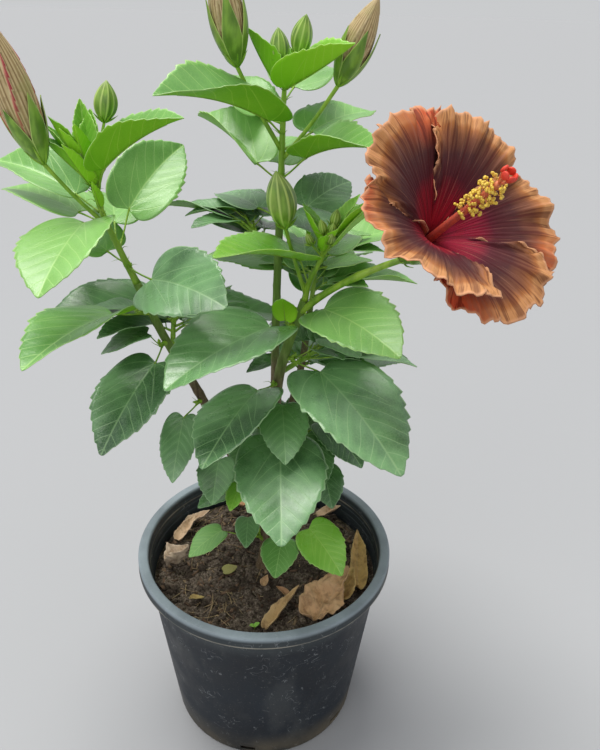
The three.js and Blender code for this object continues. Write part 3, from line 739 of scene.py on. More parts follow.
# Pruned stubs, each with a ring of callus under its cut
stubs = [("left_bough", 0.66, -60, 30, 13), ("tall_bough", 0.3, 200, 40, 10), ("trunk", 0.42, 150, 45, 9),
         ("rear_bough", 0.5, 20, 25, 12)]
for name, at, turn, rise, length in stubs:
    foot = curves[name](at)
    end = foot + polar(turn, rise, length)
    bentTube(limbBody, straight(foot, end),
             lambda s, angle: 2.6 - 0.5 * smooth(0, 0.7, s) + 0.4 * smooth(0.8, 0.95, s), 12, 8)

sheets = {age: newBody("edge", "tint") for age in ("old", "rear", "fresh", "young")}
twigs, greens, petals, sepals = newBody(), newBody("tint"), newBody("tint"), newBody("edge")
shoot = dict(foot=2.5, tip=1.8)
nub = dict(length=5.5, radius=1.3, stipule=8)
sprig = dict(length=(12, 20), foot=1.3, tip=0.9, leaves=[(0.5, -60, 40), (0.8, 55, 46), (1, 0, 36)])


def growMass(seed, mass):
    pick = seededPick(1000 + 37 * seed)
    if "path" in mass:
        stem = pathCurve(mass["path"])
        foot, tip = mass["foot"], mass["tip"]
    else:
        start = curves[mass["limb"]](mass["at"])
        stem = straight(start, start + polar(mass["turn"], mass["rise"], mass["length"]))
        foot, tip = shoot["foot"], shoot["tip"]
    long = (stem(1) - stem(0)).length
    joints = max(2, round(long / 16))
    bentTube(twigs, stem, lambda s, angle: blendValues(foot, tip, s)
             * (1 + 0.12 * max(0, math.cos(math.tau * joints * s)) ** 8), 14, max(6, int(long / 2.5)))
    leaves = list(mass.get("leaves", []))
    if "fill" in mass:
        leaves += fillLeaves(**mass["fill"])
    for kind in ("tuft", "crown"):
        if kind in mass:
            leaves += tuftLeaves(**mass[kind])
    aged = lambda age: "rear" if age == "old" and "sprigs" in mass else age
    for leaf in leaves:
        addLeaf(stem, {**leaf, "age": aged(leaf.get("age", "old"))}, sheets, twigs, pick)
        bud = stem(leaf["at"]) + polar(leaf["turn"], leaf["rise"] + 35, foot * 0.8)
        tipUp = bud + polar(leaf["turn"], leaf["rise"] + 55, nub["length"] * pick(0.7, 1.2))
        bentTube(twigs, straight(bud, tipUp),
                 lambda s, angle: nub["radius"] * (math.sin(math.pi * (0.25 + 0.72 * s)) + 0.05), 7, 5)
        for side in (-1, 1):        # stipules
            begin = stem(leaf["at"]) + polar(leaf["turn"] + side * 50, 0, foot * 0.8)
            reach = nub["stipule"] * pick(0.6, 1.2)
            bend = [begin, begin + polar(leaf["turn"] + side * 60, 35, reach * 0.5),
                    begin + polar(leaf["turn"] + side * 55, pick(0, 45), reach)]
            bentTube(twigs, pathCurve(bend), lambda s, angle: 0.42 * (1 - 0.85 * s), 5, 4)
    for bud in mass.get("buds", []):
        addBud(stem, bud, petals, greens, sepals, twigs, pick)
    for i in range(mass.get("sprigs", 0)):
        around = mass["fill"]
        turn = around["turn"] + around["arc"] * ((0.2 + i * goldenShare) % 1)
        start = stem(pick(0.25, 0.9))
        twig = straight(start, start + polar(turn, pick(15, 45), pick(*sprig["length"])))
        bentTube(twigs, twig, lambda s, angle: blendValues(sprig["foot"], sprig["tip"], s), 8, 5)
        for share, side, size in sprig["leaves"]:
            small = leafOn(share, turn + side, pick(10, 40), pick(9, 14), pick(-15, 15),
                           size * pick(0.85, 1.15), fold=pick(10, 25), width=0.68,
                           age=aged(around.get("age", "old")))
            addLeaf(twig, small, sheets, twigs, pick)


for seed, mass in enumerate(foliage.values()):
    growMass(seed, mass)
print("plant grown")


# The bloom: stalk, calyx, five petals, column with anthers and stigma

bloom = dict(
    stem=[(30, -5, 455), (52, -14, 477), (72, -23, 493), (92, -29, 505), (109, -32, 513)],
    foot=2.9, tip=2.6, throat=(121, -50, 532), axis=(0.41, -0.62, 0.67),
    length=101, opens=25, flat=78, lap=3.6, flare=0.07, reflex=3.5,
    ruffle=3.4, frill=1.4, pleat=0.5, pleats=21, thickness=0.6, rows=66, columns=60,
    calyx=9, column=97, columnFoot=3.3, columnTip=2.1,
    anthers=78, anthersFrom=0.46, anthersTo=0.85, filament=7.5, anther=1.25,
    stigmaFrom=0.86, stigmaTo=0.96, stigmaOut=4.9, stigmas=5, stigmaTurn=20, pad=2.7,
    bracts=8)
# Each petal: its turn about the axis, how wide it spreads, its length, and where it is warm or blushed
petalShapes = [
    dict(turn=29, spread=44, length=0.97, high=0.17, low=0.03, rise=0, curl=1.3,
         warm=(-1, 0.66), blush=0.1, flap=4.4, seed=401),
    dict(turn=-43, spread=38, length=1.0, high=0.15, low=0.3, rise=0, curl=0.5,
         warm=(0, 2), blush=0.05, seed=402),
    dict(turn=-101, spread=46, length=0.98, high=0.5, low=0.1, rise=0, curl=0.3,
         warm=(-1, 0.72), blush=0.6, seed=403),
    dict(turn=-174, spread=48, length=0.98, high=0.14, low=0.34, rise=0, curl=0.2,
         warm=(-1, 0.35), blush=0.7, seed=404),
    dict(turn=114, spread=54, length=0.95, high=0.16, low=0.12, rise=20, curl=0.4,
         warm=(-1, 0.82), blush=0.2, seed=405),
]

ahead = Vector(bloom["axis"]).normalized()
upright = (Vector((0, 0, 1)) - ahead * ahead.z).normalized()
level = ahead.cross(upright)
throat = Vector(bloom["throat"])


def bloomSide(degrees):
    turn = math.radians(degrees)
    return upright * math.cos(turn) + level * math.sin(turn)


def funnelTilt(reach):
    return math.radians(blendValues(bloom["opens"], bloom["flat"], min(max(reach, 0), 1.1) ** 0.6))


# How far the funnel has come along the axis and out from it, for each fortieth of a petal's length
funnel = [(0.0, 0.0)]
funnelSteps, funnelEnd = 40, 46
for i in range(funnelEnd):
    tilt = funnelTilt((i + 0.5) / funnelSteps)
    h, r = funnel[-1]
    funnel.append((h + math.cos(tilt) * bloom["length"] / funnelSteps,
                   r + math.sin(tilt) * bloom["length"] / funnelSteps))


def funnelAt(reach):
    x = min(max(reach, 0) * funnelSteps, funnelEnd - 1.001)
    (h0, r0), (h1, r1) = funnel[int(x)], funnel[int(x) + 1]
    return blendValues(h0, h1, x % 1), blendValues(r0, r1, x % 1)


def petalSpot(petal, s, u, lift):
    along = s * petal["length"] * (1 - petal["high" if u > 0 else "low"] * abs(u) ** 2.4)
    h, r = funnelAt(along)
    out = bloomSide(petal["turn"] + petal["spread"] * u * blendValues(1.12, 1, smooth(0, 0.6, s)))
    tilt = funnelTilt(along)
    face = ahead * math.sin(tilt) - out * math.cos(tilt)
    back = bloom["reflex"] * max(0, s - 0.72) ** 2 / 0.08
    back += 5 * petal["curl"] * smooth(0.72, 1, u) * smooth(0.2, 0.6, s)
    h += petal["rise"] * smooth(-0.5, 0.35, u) * s * s
    return (throat + ahead * (h - back) + out * r * (1 + bloom["flare"] * u * u)
            + face * (bloom["lap"] * u * smooth(0.15, 0.55, s) + lift))


flower = newBody("edge", "warm", "blush")
for petal in petalShapes:
    pick = seededPick(petal["seed"])
    phases = [pick(0, math.tau) for _ in range(4)]
    side, low = petal["warm"]
    sheet = newBody("edge", "warm", "blush")
    marks = sheet.verts.layers.float
    flat = sheet.loops.layers.uv.new("UVMap")
    bmesh.ops.create_grid(sheet, x_segments=bloom["columns"], y_segments=bloom["rows"], size=1)
    for vert in sheet.verts:
        u, s = vert.co.x, 0.04 + 0.96 * (vert.co.y + 1) / 2
        for loop in vert.link_loops:
            loop[flat].uv = (0.5 + 0.5 * u, s)
        rim = max(smooth(0.42, 1, s), smooth(0.5, 1, abs(u)) * smooth(0.2, 0.5, s))
        around = u * (1.2 + 1.5 * (1 - s) * abs(u))
        lift = 0.8 * bloom["ruffle"] * rim ** 3 * math.sin(math.tau * 1.5 * around + phases[0])
        lift += 0.5 * bloom["ruffle"] * rim ** 3 * math.sin(math.tau * 2.6 * around + phases[1])
        lift += bloom["frill"] * rim ** 7 * math.sin(math.tau * 6.5 * around + phases[2])
        turned = 0        # how far the margin is turned over, on the petal with a flap
        if "flap" in petal:
            turned = smooth(0.8, 1, u) * smooth(0.14, 0.24, s) * (1 - smooth(0.42, 0.56, s))
            lift += petal["flap"] * turned
        pleat = bloom["pleat"] * math.cos(math.pi * bloom["pleats"] * u)
        lift += pleat * smooth(0.1, 0.5, s) * (1 - 0.5 * s)
        wander = 1 + rim ** 4 * (0.022 * math.sin(math.tau * 2.1 * around + phases[3])
                                 + 0.012 * math.sin(math.tau * 5.3 * around + phases[1]))
        vert[marks["edge"]] = max(s, abs(u) * smooth(0.1, 0.4, s), min(1, 1.8 * turned))
        vert[marks["warm"]] = smooth(0.1, 0.75, side * u) * smooth(low, low + 0.25, s)
        vert[marks["blush"]] = petal["blush"] * smooth(0.1, 0.22, s) * (1 - smooth(0.34, 0.58, s))
        vert.co = petalSpot(petal, s * wander, u, lift)
    addPart(flower, sheet)

# Tints: funnel's foot 0.05, column 0 to 0.24, styles 0.22, filaments 0.3, anthers 0.5, stigma pads 1
heart = newBody("tint")
columnSpot = straight(throat - ahead * 0.08 * bloom["column"],
                      throat + ahead * bloom["stigmaFrom"] * bloom["column"])
bentTube(heart, columnSpot, lambda s, angle: blendValues(bloom["columnFoot"], bloom["columnTip"], s)
         * (1 + 0.05 * math.cos(5 * angle)), 20, 40, lambda s, angle: 0.24 * s)
pick = seededPick(77)


def addTinted(bm, body, tint):
    mark = body.verts.layers.float.new("tint")
    for vert in body.verts:
        vert[mark] = tint
    addPart(bm, body)


def addBall(bm, centre, radius, tint):
    ball = bmesh.new()
    bmesh.ops.create_icosphere(ball, subdivisions=1, radius=radius)
    bmesh.ops.transform(ball, matrix=Matrix.Translation(centre), verts=ball.verts)
    addTinted(bm, ball, tint)


for i in range(bloom["anthers"]):
    share = blendValues(bloom["anthersFrom"], bloom["anthersTo"], ((i + 0.5) / bloom["anthers"]) ** 0.8)
    out = bloomSide(i * goldenTurn)
    start = throat + ahead * bloom["column"] * share
    end = start + out * bloom["filament"] * pick(0.55, 1.15) + ahead * pick(0, 4)
    bend = pathCurve([start, start.lerp(end, 0.5) + ahead * pick(-0.6, 1), end])
    bentTube(heart, bend, lambda s, angle: 0.3, 4, 4, 0.3)
    across = bloomSide(pick(0, 360))
    for j in (-1, 0, 1):        # a curved anther of three lobes
        lobe = end + across * j * 1.1 + out * (0.5 if j == 0 else 0)
        addBall(heart, lobe, bloom["anther"] * pick(0.8, 1.1), 0.5)
for k in range(bloom["stigmas"]):
    out = bloomSide(360 / bloom["stigmas"] * k + bloom["stigmaTurn"])
    start = throat + ahead * bloom["column"] * (bloom["stigmaFrom"] - 0.01)
    end = throat + ahead * bloom["column"] * bloom["stigmaTo"] + out * bloom["stigmaOut"] * pick(0.7, 1.1)
    bend = pathCurve([start, start.lerp(end, 0.5) + out * 0.8, end])
    bentTube(heart, bend, lambda s, angle: 0.8, 8, 6, 0.22)
    pad = spunBody(rounded([(0, -1.5), (bloom["pad"], -1), (bloom["pad"], 0.6), (0, 1.3)], 4), 16, end, out)
    addTinted(heart, pad, 1)

# The narrow foot of the funnel, which fills the calyx and runs out into the petals' backs
footOutline = [(0, -5), (6, -4.6), (6.7, 1), (7.8, 6), (9.3, 10.3), (7.6, 8.6), (4, 4.2), (0, -1)]
addTinted(heart, spunBody(rounded(footOutline, 4), 40, throat, ahead), 0.05)

# Its stalk and calyx are green and join the shoots
bloomStem = pathCurve(bloom["stem"])
bentTube(twigs, bloomStem, lambda s, angle: blendValues(bloom["foot"], bloom["tip"], s)
         * (1 + 0.25 * math.exp(-((s - 0.55) * 14) ** 2)), 14, 30)
stemEnd = bloomStem(1)
toThroat = (throat - stemEnd).normalized()
cupRadius = lambda s: bloom["calyx"] * (0.35 + 2.4 * s * (1.15 - s))
bentTube(greens, straight(stemEnd - toThroat * 2, throat + toThroat * 2),
         lambda s, angle: cupRadius(0.72 * s) * (1 + 0.02 * math.cos(10 * angle)), 30, 14, 0.0)
cross = toThroat.orthogonal().normalized()
over = toThroat.cross(cross)
cupReach = (throat - stemEnd).length


def cupSide(angle):
    return cross * math.cos(angle) + over * math.sin(angle)


for k in range(budForm["sepals"]):
    def cupSepalSpot(u, s):
        taper = (1 - s ** 2) ** 0.8
        angle = math.tau * k / budForm["sepals"] + u * math.radians(budForm["sepalHalf"]) * taper
        radius = cupRadius(0.45 + 0.27 * s) + 0.9 + 4.5 * s * s
        return stemEnd + toThroat * blendValues(0.5 * cupReach, cupReach + 5, s) + cupSide(angle) * radius

    addSepal(sepals, 10, 16, cupSepalSpot)
for k in range(bloom["bracts"]):
    out = cupSide(math.tau * (k + 0.3) / bloom["bracts"])
    bract = pathCurve([stemEnd + out * 2, stemEnd + out * 7 + toThroat * 3,
                       stemEnd + out * 12 + toThroat * 11])
    bentTube(twigs, bract, lambda s, angle: 1.0 * (1 - 0.8 * s), 6, 8)
print("bloom shaped")


# Pot: a thin wall spun from its outline, with a skirt under the rim and drain notches at the foot

pot = dict(
    height=200, rim=127.5, base=97, wall=2.4, rimWidth=10, skirt=12, steps=120,
    notches=6, notchTurn=20, notchLow=2.5, notchHigh=10.5, notchSteps=3, wallFrom=80,
    corner=0.55)


def wallRadius(height):
    slope = (pot["rim"] - pot["rimWidth"] + pot["wall"] - pot["base"]) / pot["height"]
    return pot["base"] + slope * height


# Each corner of an outline becomes a small round of three points
def eased(outline, radius):
    points = [Vector((r, z)) for r, z in outline]
    soft = [points[0]]
    for a, p, b in zip(points, points[1:], points[2:]):
        toA, toB = a - p, b - p
        start = p + toA.normalized() * min(radius, toA.length * 0.45)
        end = p + toB.normalized() * min(radius, toB.length * 0.45)
        soft += [start, (start + end + 2 * p) / 4, end]
    soft.append(points[-1])
    return [(p.x, p.y) for p in soft]


wall, rim, top = pot["wall"], pot["rim"], pot["height"]
skirtFoot = top - pot["skirt"]
inner = lambda height: wallRadius(height) - wall
potOutline = [
    (0, 1.6), (84, 1.6), (87, 0), (pot["base"] - 1, 0), (pot["base"] + 0.1, 1.4),
    (wallRadius(20), 20), (wallRadius(100), 100), (wallRadius(150), 150),
    (wallRadius(skirtFoot), skirtFoot - 0.2), (rim - 1.2, skirtFoot), (rim - 0.1, skirtFoot + 0.9),
    (rim - 0.6, skirtFoot + 2.2), (rim - 0.5, top - 1.6), (rim - 1.7, top),
    (rim - pot["rimWidth"] + 1, top - 0.2), (rim - pot["rimWidth"] - 0.2, top - 1.6),
    (inner(192) + 0.2, 192), (inner(192) - 0.6, 191),
    (inner(185) + 0.1, 185), (inner(185) - 0.7, 184), (inner(178) + 0.1, 178), (inner(178) - 0.7, 177),
    (inner(120), 120), (inner(60), 60), (inner(20), 20), (inner(3.4), 3.4), (0, 3.4)]
potShell = eased(potOutline, pot["corner"])


def withRings(outline, heights):
    out = []
    for (r0, z0), (r1, z1) in zip(outline, outline[1:]):
        out.append((r0, z0))
        cuts = [h for h in heights if min(z0, z1) < h < max(z0, z1) and r0 > 50]
        for h in sorted(cuts, reverse=z1 < z0):
            out.append((blendValues(r0, r1, (h - z0) / (z1 - z0)), h))
    return out + [outline[-1]]


low, high = pot["notchLow"] + 1.5, pot["notchHigh"]
potBody = spunBody(withRings(potShell, (low, high)), pot["steps"])
stepTurn = 360 / pot["steps"]
for i in range(pot["notches"]):
    middle = round((pot["notchTurn"] + 360 * i / pot["notches"]) / stepTurn) * stepTurn + stepTurn / 2
    gone = []
    for face in potBody.faces:
        centre = face.calc_center_median()
        turn = math.degrees(math.atan2(centre.y, centre.x))
        off = abs((turn - middle + 180) % 360 - 180)
        onWall = abs(face.normal.z) < 0.5 and centre.xy.length > pot["wallFrom"]
        if low < centre.z < high and off < stepTurn * pot["notchSteps"] / 2 and onWall:
            gone.append(face)
    bmesh.ops.delete(potBody, geom=gone, context="FACES")
    edges = [e for e in potBody.edges if e.is_boundary]
    bmesh.ops.bridge_loops(potBody, edges=edges)
bmesh.ops.recalc_face_normals(potBody, faces=potBody.faces)
print("pot spun")


# Potting mix: an uneven surface with crumbs, bark chips and straws

soil = dict(top=168, gap=0.35, foot=3.8, steps=260, rings=90, crumbs=2600, clod=2.6, cloddy=0.16,
            chips=430, straws=150, seed=9, flatFrom=100, dipFrom=104, edge=113, strewn=109,
            strawReach=104, strawEnd=108)


def soilHeight(x, y):
    here = Vector((x, y, 0))
    reach = math.hypot(x, y)
    lumps = 2.4 * noise.noise(here * 0.028) + 1.7 * noise.noise(here * 0.09 + Vector((5, 0, 0)))
    clods = 3.6 * abs(noise.noise(here * 0.15)) + 1.1 * noise.noise(here * 0.42)
    mound = 2.2 * math.exp(-(reach / 16) ** 2)
    inside = 1 - smooth(soil["flatFrom"], soil["edge"], reach)
    dip = 1.8 * smooth(soil["dipFrom"], soil["edge"], reach)
    return soil["top"] - 1.2 + (lumps + clods + mound) * inside - dip


soilSide = inner(soil["top"]) - soil["gap"]
soilOutline = [(0, soil["foot"]), (60, soil["foot"]), (inner(soil["foot"]) - soil["gap"], soil["foot"]),
               (inner(60) - soil["gap"], 60), (inner(120) - soil["gap"], 120), (soilSide, soil["top"] - 3)]
soilOutline += [(soilSide * (1 - i / soil["rings"]), soil["top"]) for i in range(soil["rings"] + 1)]
ground = spunBody(soilOutline, soil["steps"])
for vert in ground.verts:
    if vert.co.z > soil["top"] - 0.5:
        vert.co.z = soilHeight(vert.co.x, vert.co.y)
bmesh.ops.recalc_face_normals(ground, faces=ground.faces)

random.seed(soil["seed"])


def onSoil(lift=0.0):
    turn, far = random.uniform(0, math.tau), soil["strewn"] * math.sqrt(random.uniform(0.004, 1))
    x, y = far * math.cos(turn), far * math.sin(turn)
    return Vector((x, y, soilHeight(x, y) + lift))


def tumbled(spot, scale):
    turn = Matrix.Rotation(random.uniform(0, math.tau), 4, "Z")
    tilt = Matrix.Rotation(random.uniform(-0.7, 0.7), 4, "X")
    return Matrix.Translation(spot) @ (turn @ tilt) @ Matrix.Diagonal((*scale, 1))


crumbs = newBody()
for i in range(soil["crumbs"]):
    size = random.uniform(0.7, 2.3) * (soil["clod"] if random.random() < soil["cloddy"] else 1)
    scale = (size, size * random.uniform(0.6, 1), size * random.uniform(0.5, 0.9))
    bmesh.ops.create_icosphere(crumbs, subdivisions=1, radius=1, matrix=tumbled(onSoil(), scale))
    if i % 200 == 199:
        addPart(ground, crumbs)
        crumbs = newBody()

chips = newBody()
chipMark = chips.verts.layers.float.new("tint")
for i in range(soil["chips"]):
    scale = (random.uniform(3, 11), random.uniform(1.2, 4), random.uniform(0.5, 1.4))
    made = bmesh.ops.create_cube(chips, size=1, matrix=tumbled(onSoil(lift=0.5), scale))
    tint = random.uniform(0, 0.62)
    for vert in made["verts"]:
        vert.co += Vector([random.uniform(-0.35, 0.35) for _ in range(3)])
        vert[chipMark] = tint
strawSpots = [((-66, 20), 22), ((-45, -62), 20), ((-60, 70), 26), ((40, 70), 30), ((0, 0), 95)]
for i in range(soil["straws"]):
    (cx, cy), spread = strawSpots[i % len(strawSpots)]
    x, y = random.gauss(cx, spread * 0.6), random.gauss(cy, spread * 0.6)
    if math.hypot(x, y) > soil["strawReach"]:
        x, y = x * 0.8, y * 0.8
    turn, long = random.uniform(0, math.tau), random.uniform(5, 30)
    ends = [Vector((x + k * long * math.cos(turn + 0.25 * k), y + k * long * math.sin(turn + 0.25 * k), 0))
            for k in (-0.5, 0, 0.5)]
    for p in ends:
        p.xy = p.xy * min(1, soil["strawEnd"] / max(p.xy.length, 1))
        p.z = soilHeight(p.x, p.y) + random.uniform(0.6, 2)
    thick = random.uniform(0.25, 0.65)
    bentTube(chips, pathCurve(ends), lambda s, angle: thick * (1 - 0.5 * s), 4, 4, random.uniform(0.6, 1))
print("soil strewn")


# Dry leaves on the mix: curled blades, each with its own tint, and small scraps of others

def dryOn(x, y, heading, length, width, fold, droop, tint, crumple=0, roll=0):
    return dict(place=(x, y), heading=heading, length=length, width=width, fold=fold, droop=droop,
                tint=tint, crumple=crumple, roll=roll)


dryLeaves = [
    dryOn(49, -78, 52, 66, 0.66, 24, -52, 0.2, 2.3, roll=8),
    dryOn(-100, -12, 16, 40, 1.0, 58, -95, 0.4, 1.6, roll=14),
    dryOn(6, -87, 50, 52, 0.34, 50, -45, 0.5, 0.9, roll=12),
    dryOn(94, -34, 88, 66, 0.36, 40, -44, 0.95, 1.1, roll=-10),
]
dryScraps = [
    dryOn(-42, -14, 20, 15, 0.9, 10, -10, 0.7),
    dryOn(0, -34, 70, 13, 0.8, 40, -50, 0.2, 0.7),
    dryOn(56, 76, 10, 30, 0.55, 35, -50, 0.3, 0.8),
    dryOn(74, -52, 64, 40, 0.7, 30, -45, 1, 1.4),
    dryOn(-90, 58, 20, 30, 0.5, 40, -50, 0.35, 0.8),
    dryOn(-96, 30, 60, 34, 0.5, 40, -45, 0.3, 0.9),
    dryOn(-30, 92, 160, 34, 0.6, 30, -45, 0.15, 0.9),
    dryOn(60, 30, -60, 28, 0.5, 38, -45, 0.25, 0.8),
    dryOn(-70, -52, -20, 18, 0.4, 40, -50, 0.8, 0.5),
    dryOn(26, -46, 150, 16, 0.5, 40, -40, 0.1, 0.5),
]
litter = newBody("edge", "tint")
pick = seededPick(31)
for leaf in dryLeaves + dryScraps:
    x, y = leaf["place"]
    dry = {"pitch": -0.5 * leaf["droop"] + 2, **leaf}
    addBlade(litter, Vector((x, y, soil["top"] + 2.2)), dry, pick)
seedlingFoot, seedlingTip = Vector((-5, -86, soil["top"] - 2)), Vector((-5, -86, soil["top"] + 4))
for heading in (20, 200):        # a seedling's first two leaves
    addBlade(sheets["young"], seedlingTip, dict(heading=heading, length=5.5, width=0.8, pitch=25), pick)
bentTube(twigs, straight(seedlingFoot, seedlingTip), lambda s, angle: 0.4, 6, 3)
print("litter laid")


# Finishes

def leafFinish(name, look):
    newMaterial(name, look["roughness"], look["shine"])
    u, y, _ = split(place("UV"))
    x = calc("ABSOLUTE", calc("SUBTRACT", u, 0.5))
    xx = times(x, x)

    def line(distance, width, soft=1.8):
        return fade(calc("ABSOLUTE", distance), width * 0.45, width * soft)

    def along(slope, curl, scale=1.0):
        rise = calc("MULTIPLY_ADD", x, slope, times(xx, curl))
        return times(calc("SUBTRACT", y, rise), scale)

    climb = calc("SUBTRACT", along(blade["veinLean"], blade["veinCurl"]), blade["veinStart"])
    quills = calc("DIVIDE", climb, blade["veinGap"])
    sway = times(calc("SUBTRACT", grain(place(), 26, 2), 0.5), 0.7)
    quills = calc("ADD", quills, sway)
    nearest = calc("SUBTRACT", calc("FRACT", calc("ADD", quills, 0.5)), 0.5)
    beyond = along(1.9, 0.4, 0.46)
    pinnate = line(times(nearest, blade["veinGap"] * 0.75), 0.003)
    pinnate = times(pinnate, band(beyond, 0.0, 0.02))
    branch = line(beyond, 0.0034)
    branch = times(branch, fade(y, 0.4, 0.55))
    lower = line(along(0.15, 1.6, 0.8), 0.003)
    midrib = line(x, 0.0068)
    veins = calc("MAXIMUM", calc("MAXIMUM", pinnate, branch), calc("MAXIMUM", lower, midrib))
    net = fade(cells(place("UV"), 42), 0.0, 0.09)
    fine = fade(cells(place("UV"), 110), 0.0, 0.16)
    spotted = grain(place(), 38, 4, rough=0.6)
    patches = grain(place(), 13, 3)
    base = blendColours(band(patches, 0.38, 0.62), look["dark"], look["light"])
    base = blendColours(times(attribute("tint"), 0.45), base, look["other"])
    base = blendColours(times(band(spotted, 0.5, 0.75), 0.35), base, look["light"])
    between = band(calc("ABSOLUTE", nearest), 0.1, 0.5, 0.0, look["shade"])
    base = blendColours(between, base, look["dark"])
    base = blendColours(times(net, look["net"]), base, look["vein"])
    base = blendColours(times(veins, look["veins"]), base, look["vein"])
    rim = band(attribute("edge"), 0.965, 0.99, 0.0, look["rim"])
    base = blendColours(rim, base, look["vein"])
    worn = band(spotted, 0.3, 0.8, look["roughness"] - 0.05, look["roughness"] + 0.12)
    meshes = times(calc("ADD", net, times(fine, 0.5)), look["ridge"] * 0.35)
    return dressed(base, calc("MULTIPLY_ADD", veins, look["ridge"], meshes), 0.3, 0.3, worn)


topLook = dict(veins=0.5, rim=0.7, ridge=-1)
leafLooks = dict(
    # The old leaves' light colour is their paler green with a painted bluish sheen mixed in
    old=dict(dark=(0.036, 0.11, 0.038), light=(0.19, 0.4, 0.165), other=(0.13, 0.32, 0.085),
             vein=(0.34, 0.55, 0.26), roughness=0.3, shine=0.85, shade=0.16, net=0.2, rim=0.65),
    fresh=dict(dark=(0.1, 0.28, 0.055), light=(0.2, 0.45, 0.11), other=(0.27, 0.55, 0.11),
               vein=(0.42, 0.66, 0.22), roughness=0.32, shine=0.6, shade=0.12, net=0.16),
    young=dict(dark=(0.15, 0.42, 0.035), light=(0.26, 0.56, 0.07), other=(0.27, 0.57, 0.06),
               vein=(0.42, 0.66, 0.14), roughness=0.28, shine=0.5, shade=0.2, net=0.08),
)
# Undersides: their own paler yellow-green, made brighter and more saturated as painted light shining
# through the leaf
underLook = dict(veins=0.5, rim=0.5, ridge=1, shine=0.25, shade=0.12)
underLooks = dict(
    old=dict(dark=(0.11, 0.3, 0.03), light=(0.16, 0.37, 0.045), other=(0.16, 0.38, 0.03),
             vein=(0.28, 0.48, 0.1), roughness=0.55, net=0.12),
    fresh=dict(dark=(0.15, 0.42, 0.01), light=(0.21, 0.5, 0.015), other=(0.22, 0.5, 0.012),
               vein=(0.36, 0.62, 0.06), roughness=0.5, net=0.12),
    young=dict(dark=(0.22, 0.54, 0.012), light=(0.28, 0.62, 0.02), other=(0.28, 0.6, 0.02),
               vein=(0.42, 0.68, 0.08), roughness=0.45, net=0.1),
)


def stemFinish():
    newMaterial("greenStem", 0.45, 0.45)
    here = place()
    streaks = grain(here, 160, 3, stretch=(1, 1, 0.12))
    patches = grain(here, 30, 3)
    green = blendColours(band(streaks, 0.35, 0.65), (0.16, 0.32, 0.02), (0.28, 0.46, 0.04))
    green = blendColours(times(band(patches, 0.55, 0.75), 0.4), green, (0.3, 0.36, 0.08))
    return dressed(green, streaks, 0.3, 0.3)


def barkFinish():
    newMaterial("limbBark", 0.72, 0.3)
    here = place()
    cracks = grain(here, 230, 5, stretch=(1, 1, 0.16), rough=0.62)
    patches = grain(here, 42, 4)
    pores = fade(cells(here, 420, "F1"), 0.12, 0.28)
    brown = ramp(cracks, [(0.25, (0.05, 0.032, 0.018)), (0.5, (0.15, 0.105, 0.06)),
                          (0.72, (0.3, 0.23, 0.15))])
    brown = blendColours(times(pores, 0.35), brown, (0.36, 0.3, 0.22))
    green = ramp(cracks, [(0.25, (0.075, 0.13, 0.02)), (0.55, (0.15, 0.26, 0.045)),
                          (0.8, (0.26, 0.36, 0.09))])
    ripe = calc("ADD", split(here)[2], times(calc("SUBTRACT", patches, 0.5), 0.12))
    return dressed(blendColours(band(ripe, 0.36, 0.45), brown, green), cracks, 0.8, 0.9)


def greenFinish(name, mark, low, high, pale):
    newMaterial(name, 0.4, 0.45)
    here = place()
    streaks = grain(here, 170, 4, stretch=(1, 1, 0.25))
    patches = grain(here, 45, 3)
    green = blendColours(band(streaks, 0.35, 0.65), (0.1, 0.2, 0.018), (0.22, 0.38, 0.045))
    green = blendColours(times(band(patches, 0.5, 0.7), 0.4), green, (0.3, 0.34, 0.1))
    light = times(band(attribute(mark), low, high), pale)
    return dressed(blendColours(light, green, (0.5, 0.64, 0.18)), calc("ADD", streaks, light), 0.35, 0.35)


def budFinish():
    newMaterial("budPetals", 0.5, 0.35)
    patches = grain(place(), 60, 4, rough=0.6)
    fine = grain(place(), 260, 3)
    colour = ramp(attribute("tint"), [
        (0.0, (0.17, 0.1, 0.04)), (0.22, (0.42, 0.3, 0.14)), (0.5, (0.62, 0.5, 0.28)),
        (0.75, (0.55, 0.17, 0.13)), (1.0, (0.36, 0.02, 0.045))])
    colour = blendColours(band(patches, 0.45, 0.7, 0.0, 0.45), colour, (0.3, 0.3, 0.09))
    colour = blendColours(band(fine, 0.5, 0.75, 0.0, 0.4), colour, (0.2, 0.11, 0.05))
    return dressed(colour, fine, 0.4, 0.3)


def petalFinish(name, stops, rayColour, warmColour, blushColour):
    newMaterial(name, 0.58, 0.14, **{"Sheen Weight": 0.03, "Sheen Roughness": 0.5})
    s = split(place("UV"))[1]
    cloudy = grain(place(), 36, 4)
    shifted = calc("ADD", s, times(calc("SUBTRACT", cloudy, 0.5), 0.2))
    margin = band(attribute("edge"), 0.8, 1.0, 0.0, 0.16)
    colour = ramp(calc("ADD", shifted, margin), stops)
    warm = times(attribute("warm"), band(cloudy, 0.3, 0.55, 0.55, 1.0))
    colour = blendColours(warm, colour, warmColour)
    blush = times(attribute("blush"), band(cloudy, 0.35, 0.6, 0.5, 1.0))
    colour = blendColours(blush, colour, blushColour)
    rays = grain(place("UV"), 42, 5, stretch=(1, 0.04, 1), rough=0.6)
    light = times(band(rays, 0.56, 0.64), band(s, 0.15, 0.4, 0.1, 0.35))
    colour = blendColours(light, colour, rayColour)
    dark = times(fade(rays, 0.4, 0.52), 0.62)
    colour = blendColours(dark, colour, (0.06, 0.004, 0.006))
    rim = band(attribute("edge"), 0.965, 0.995)
    colour = blendColours(times(rim, 0.75), colour, (0.66, 0.34, 0.19))
    return dressed(colour, rays, 0.5, 0.5)


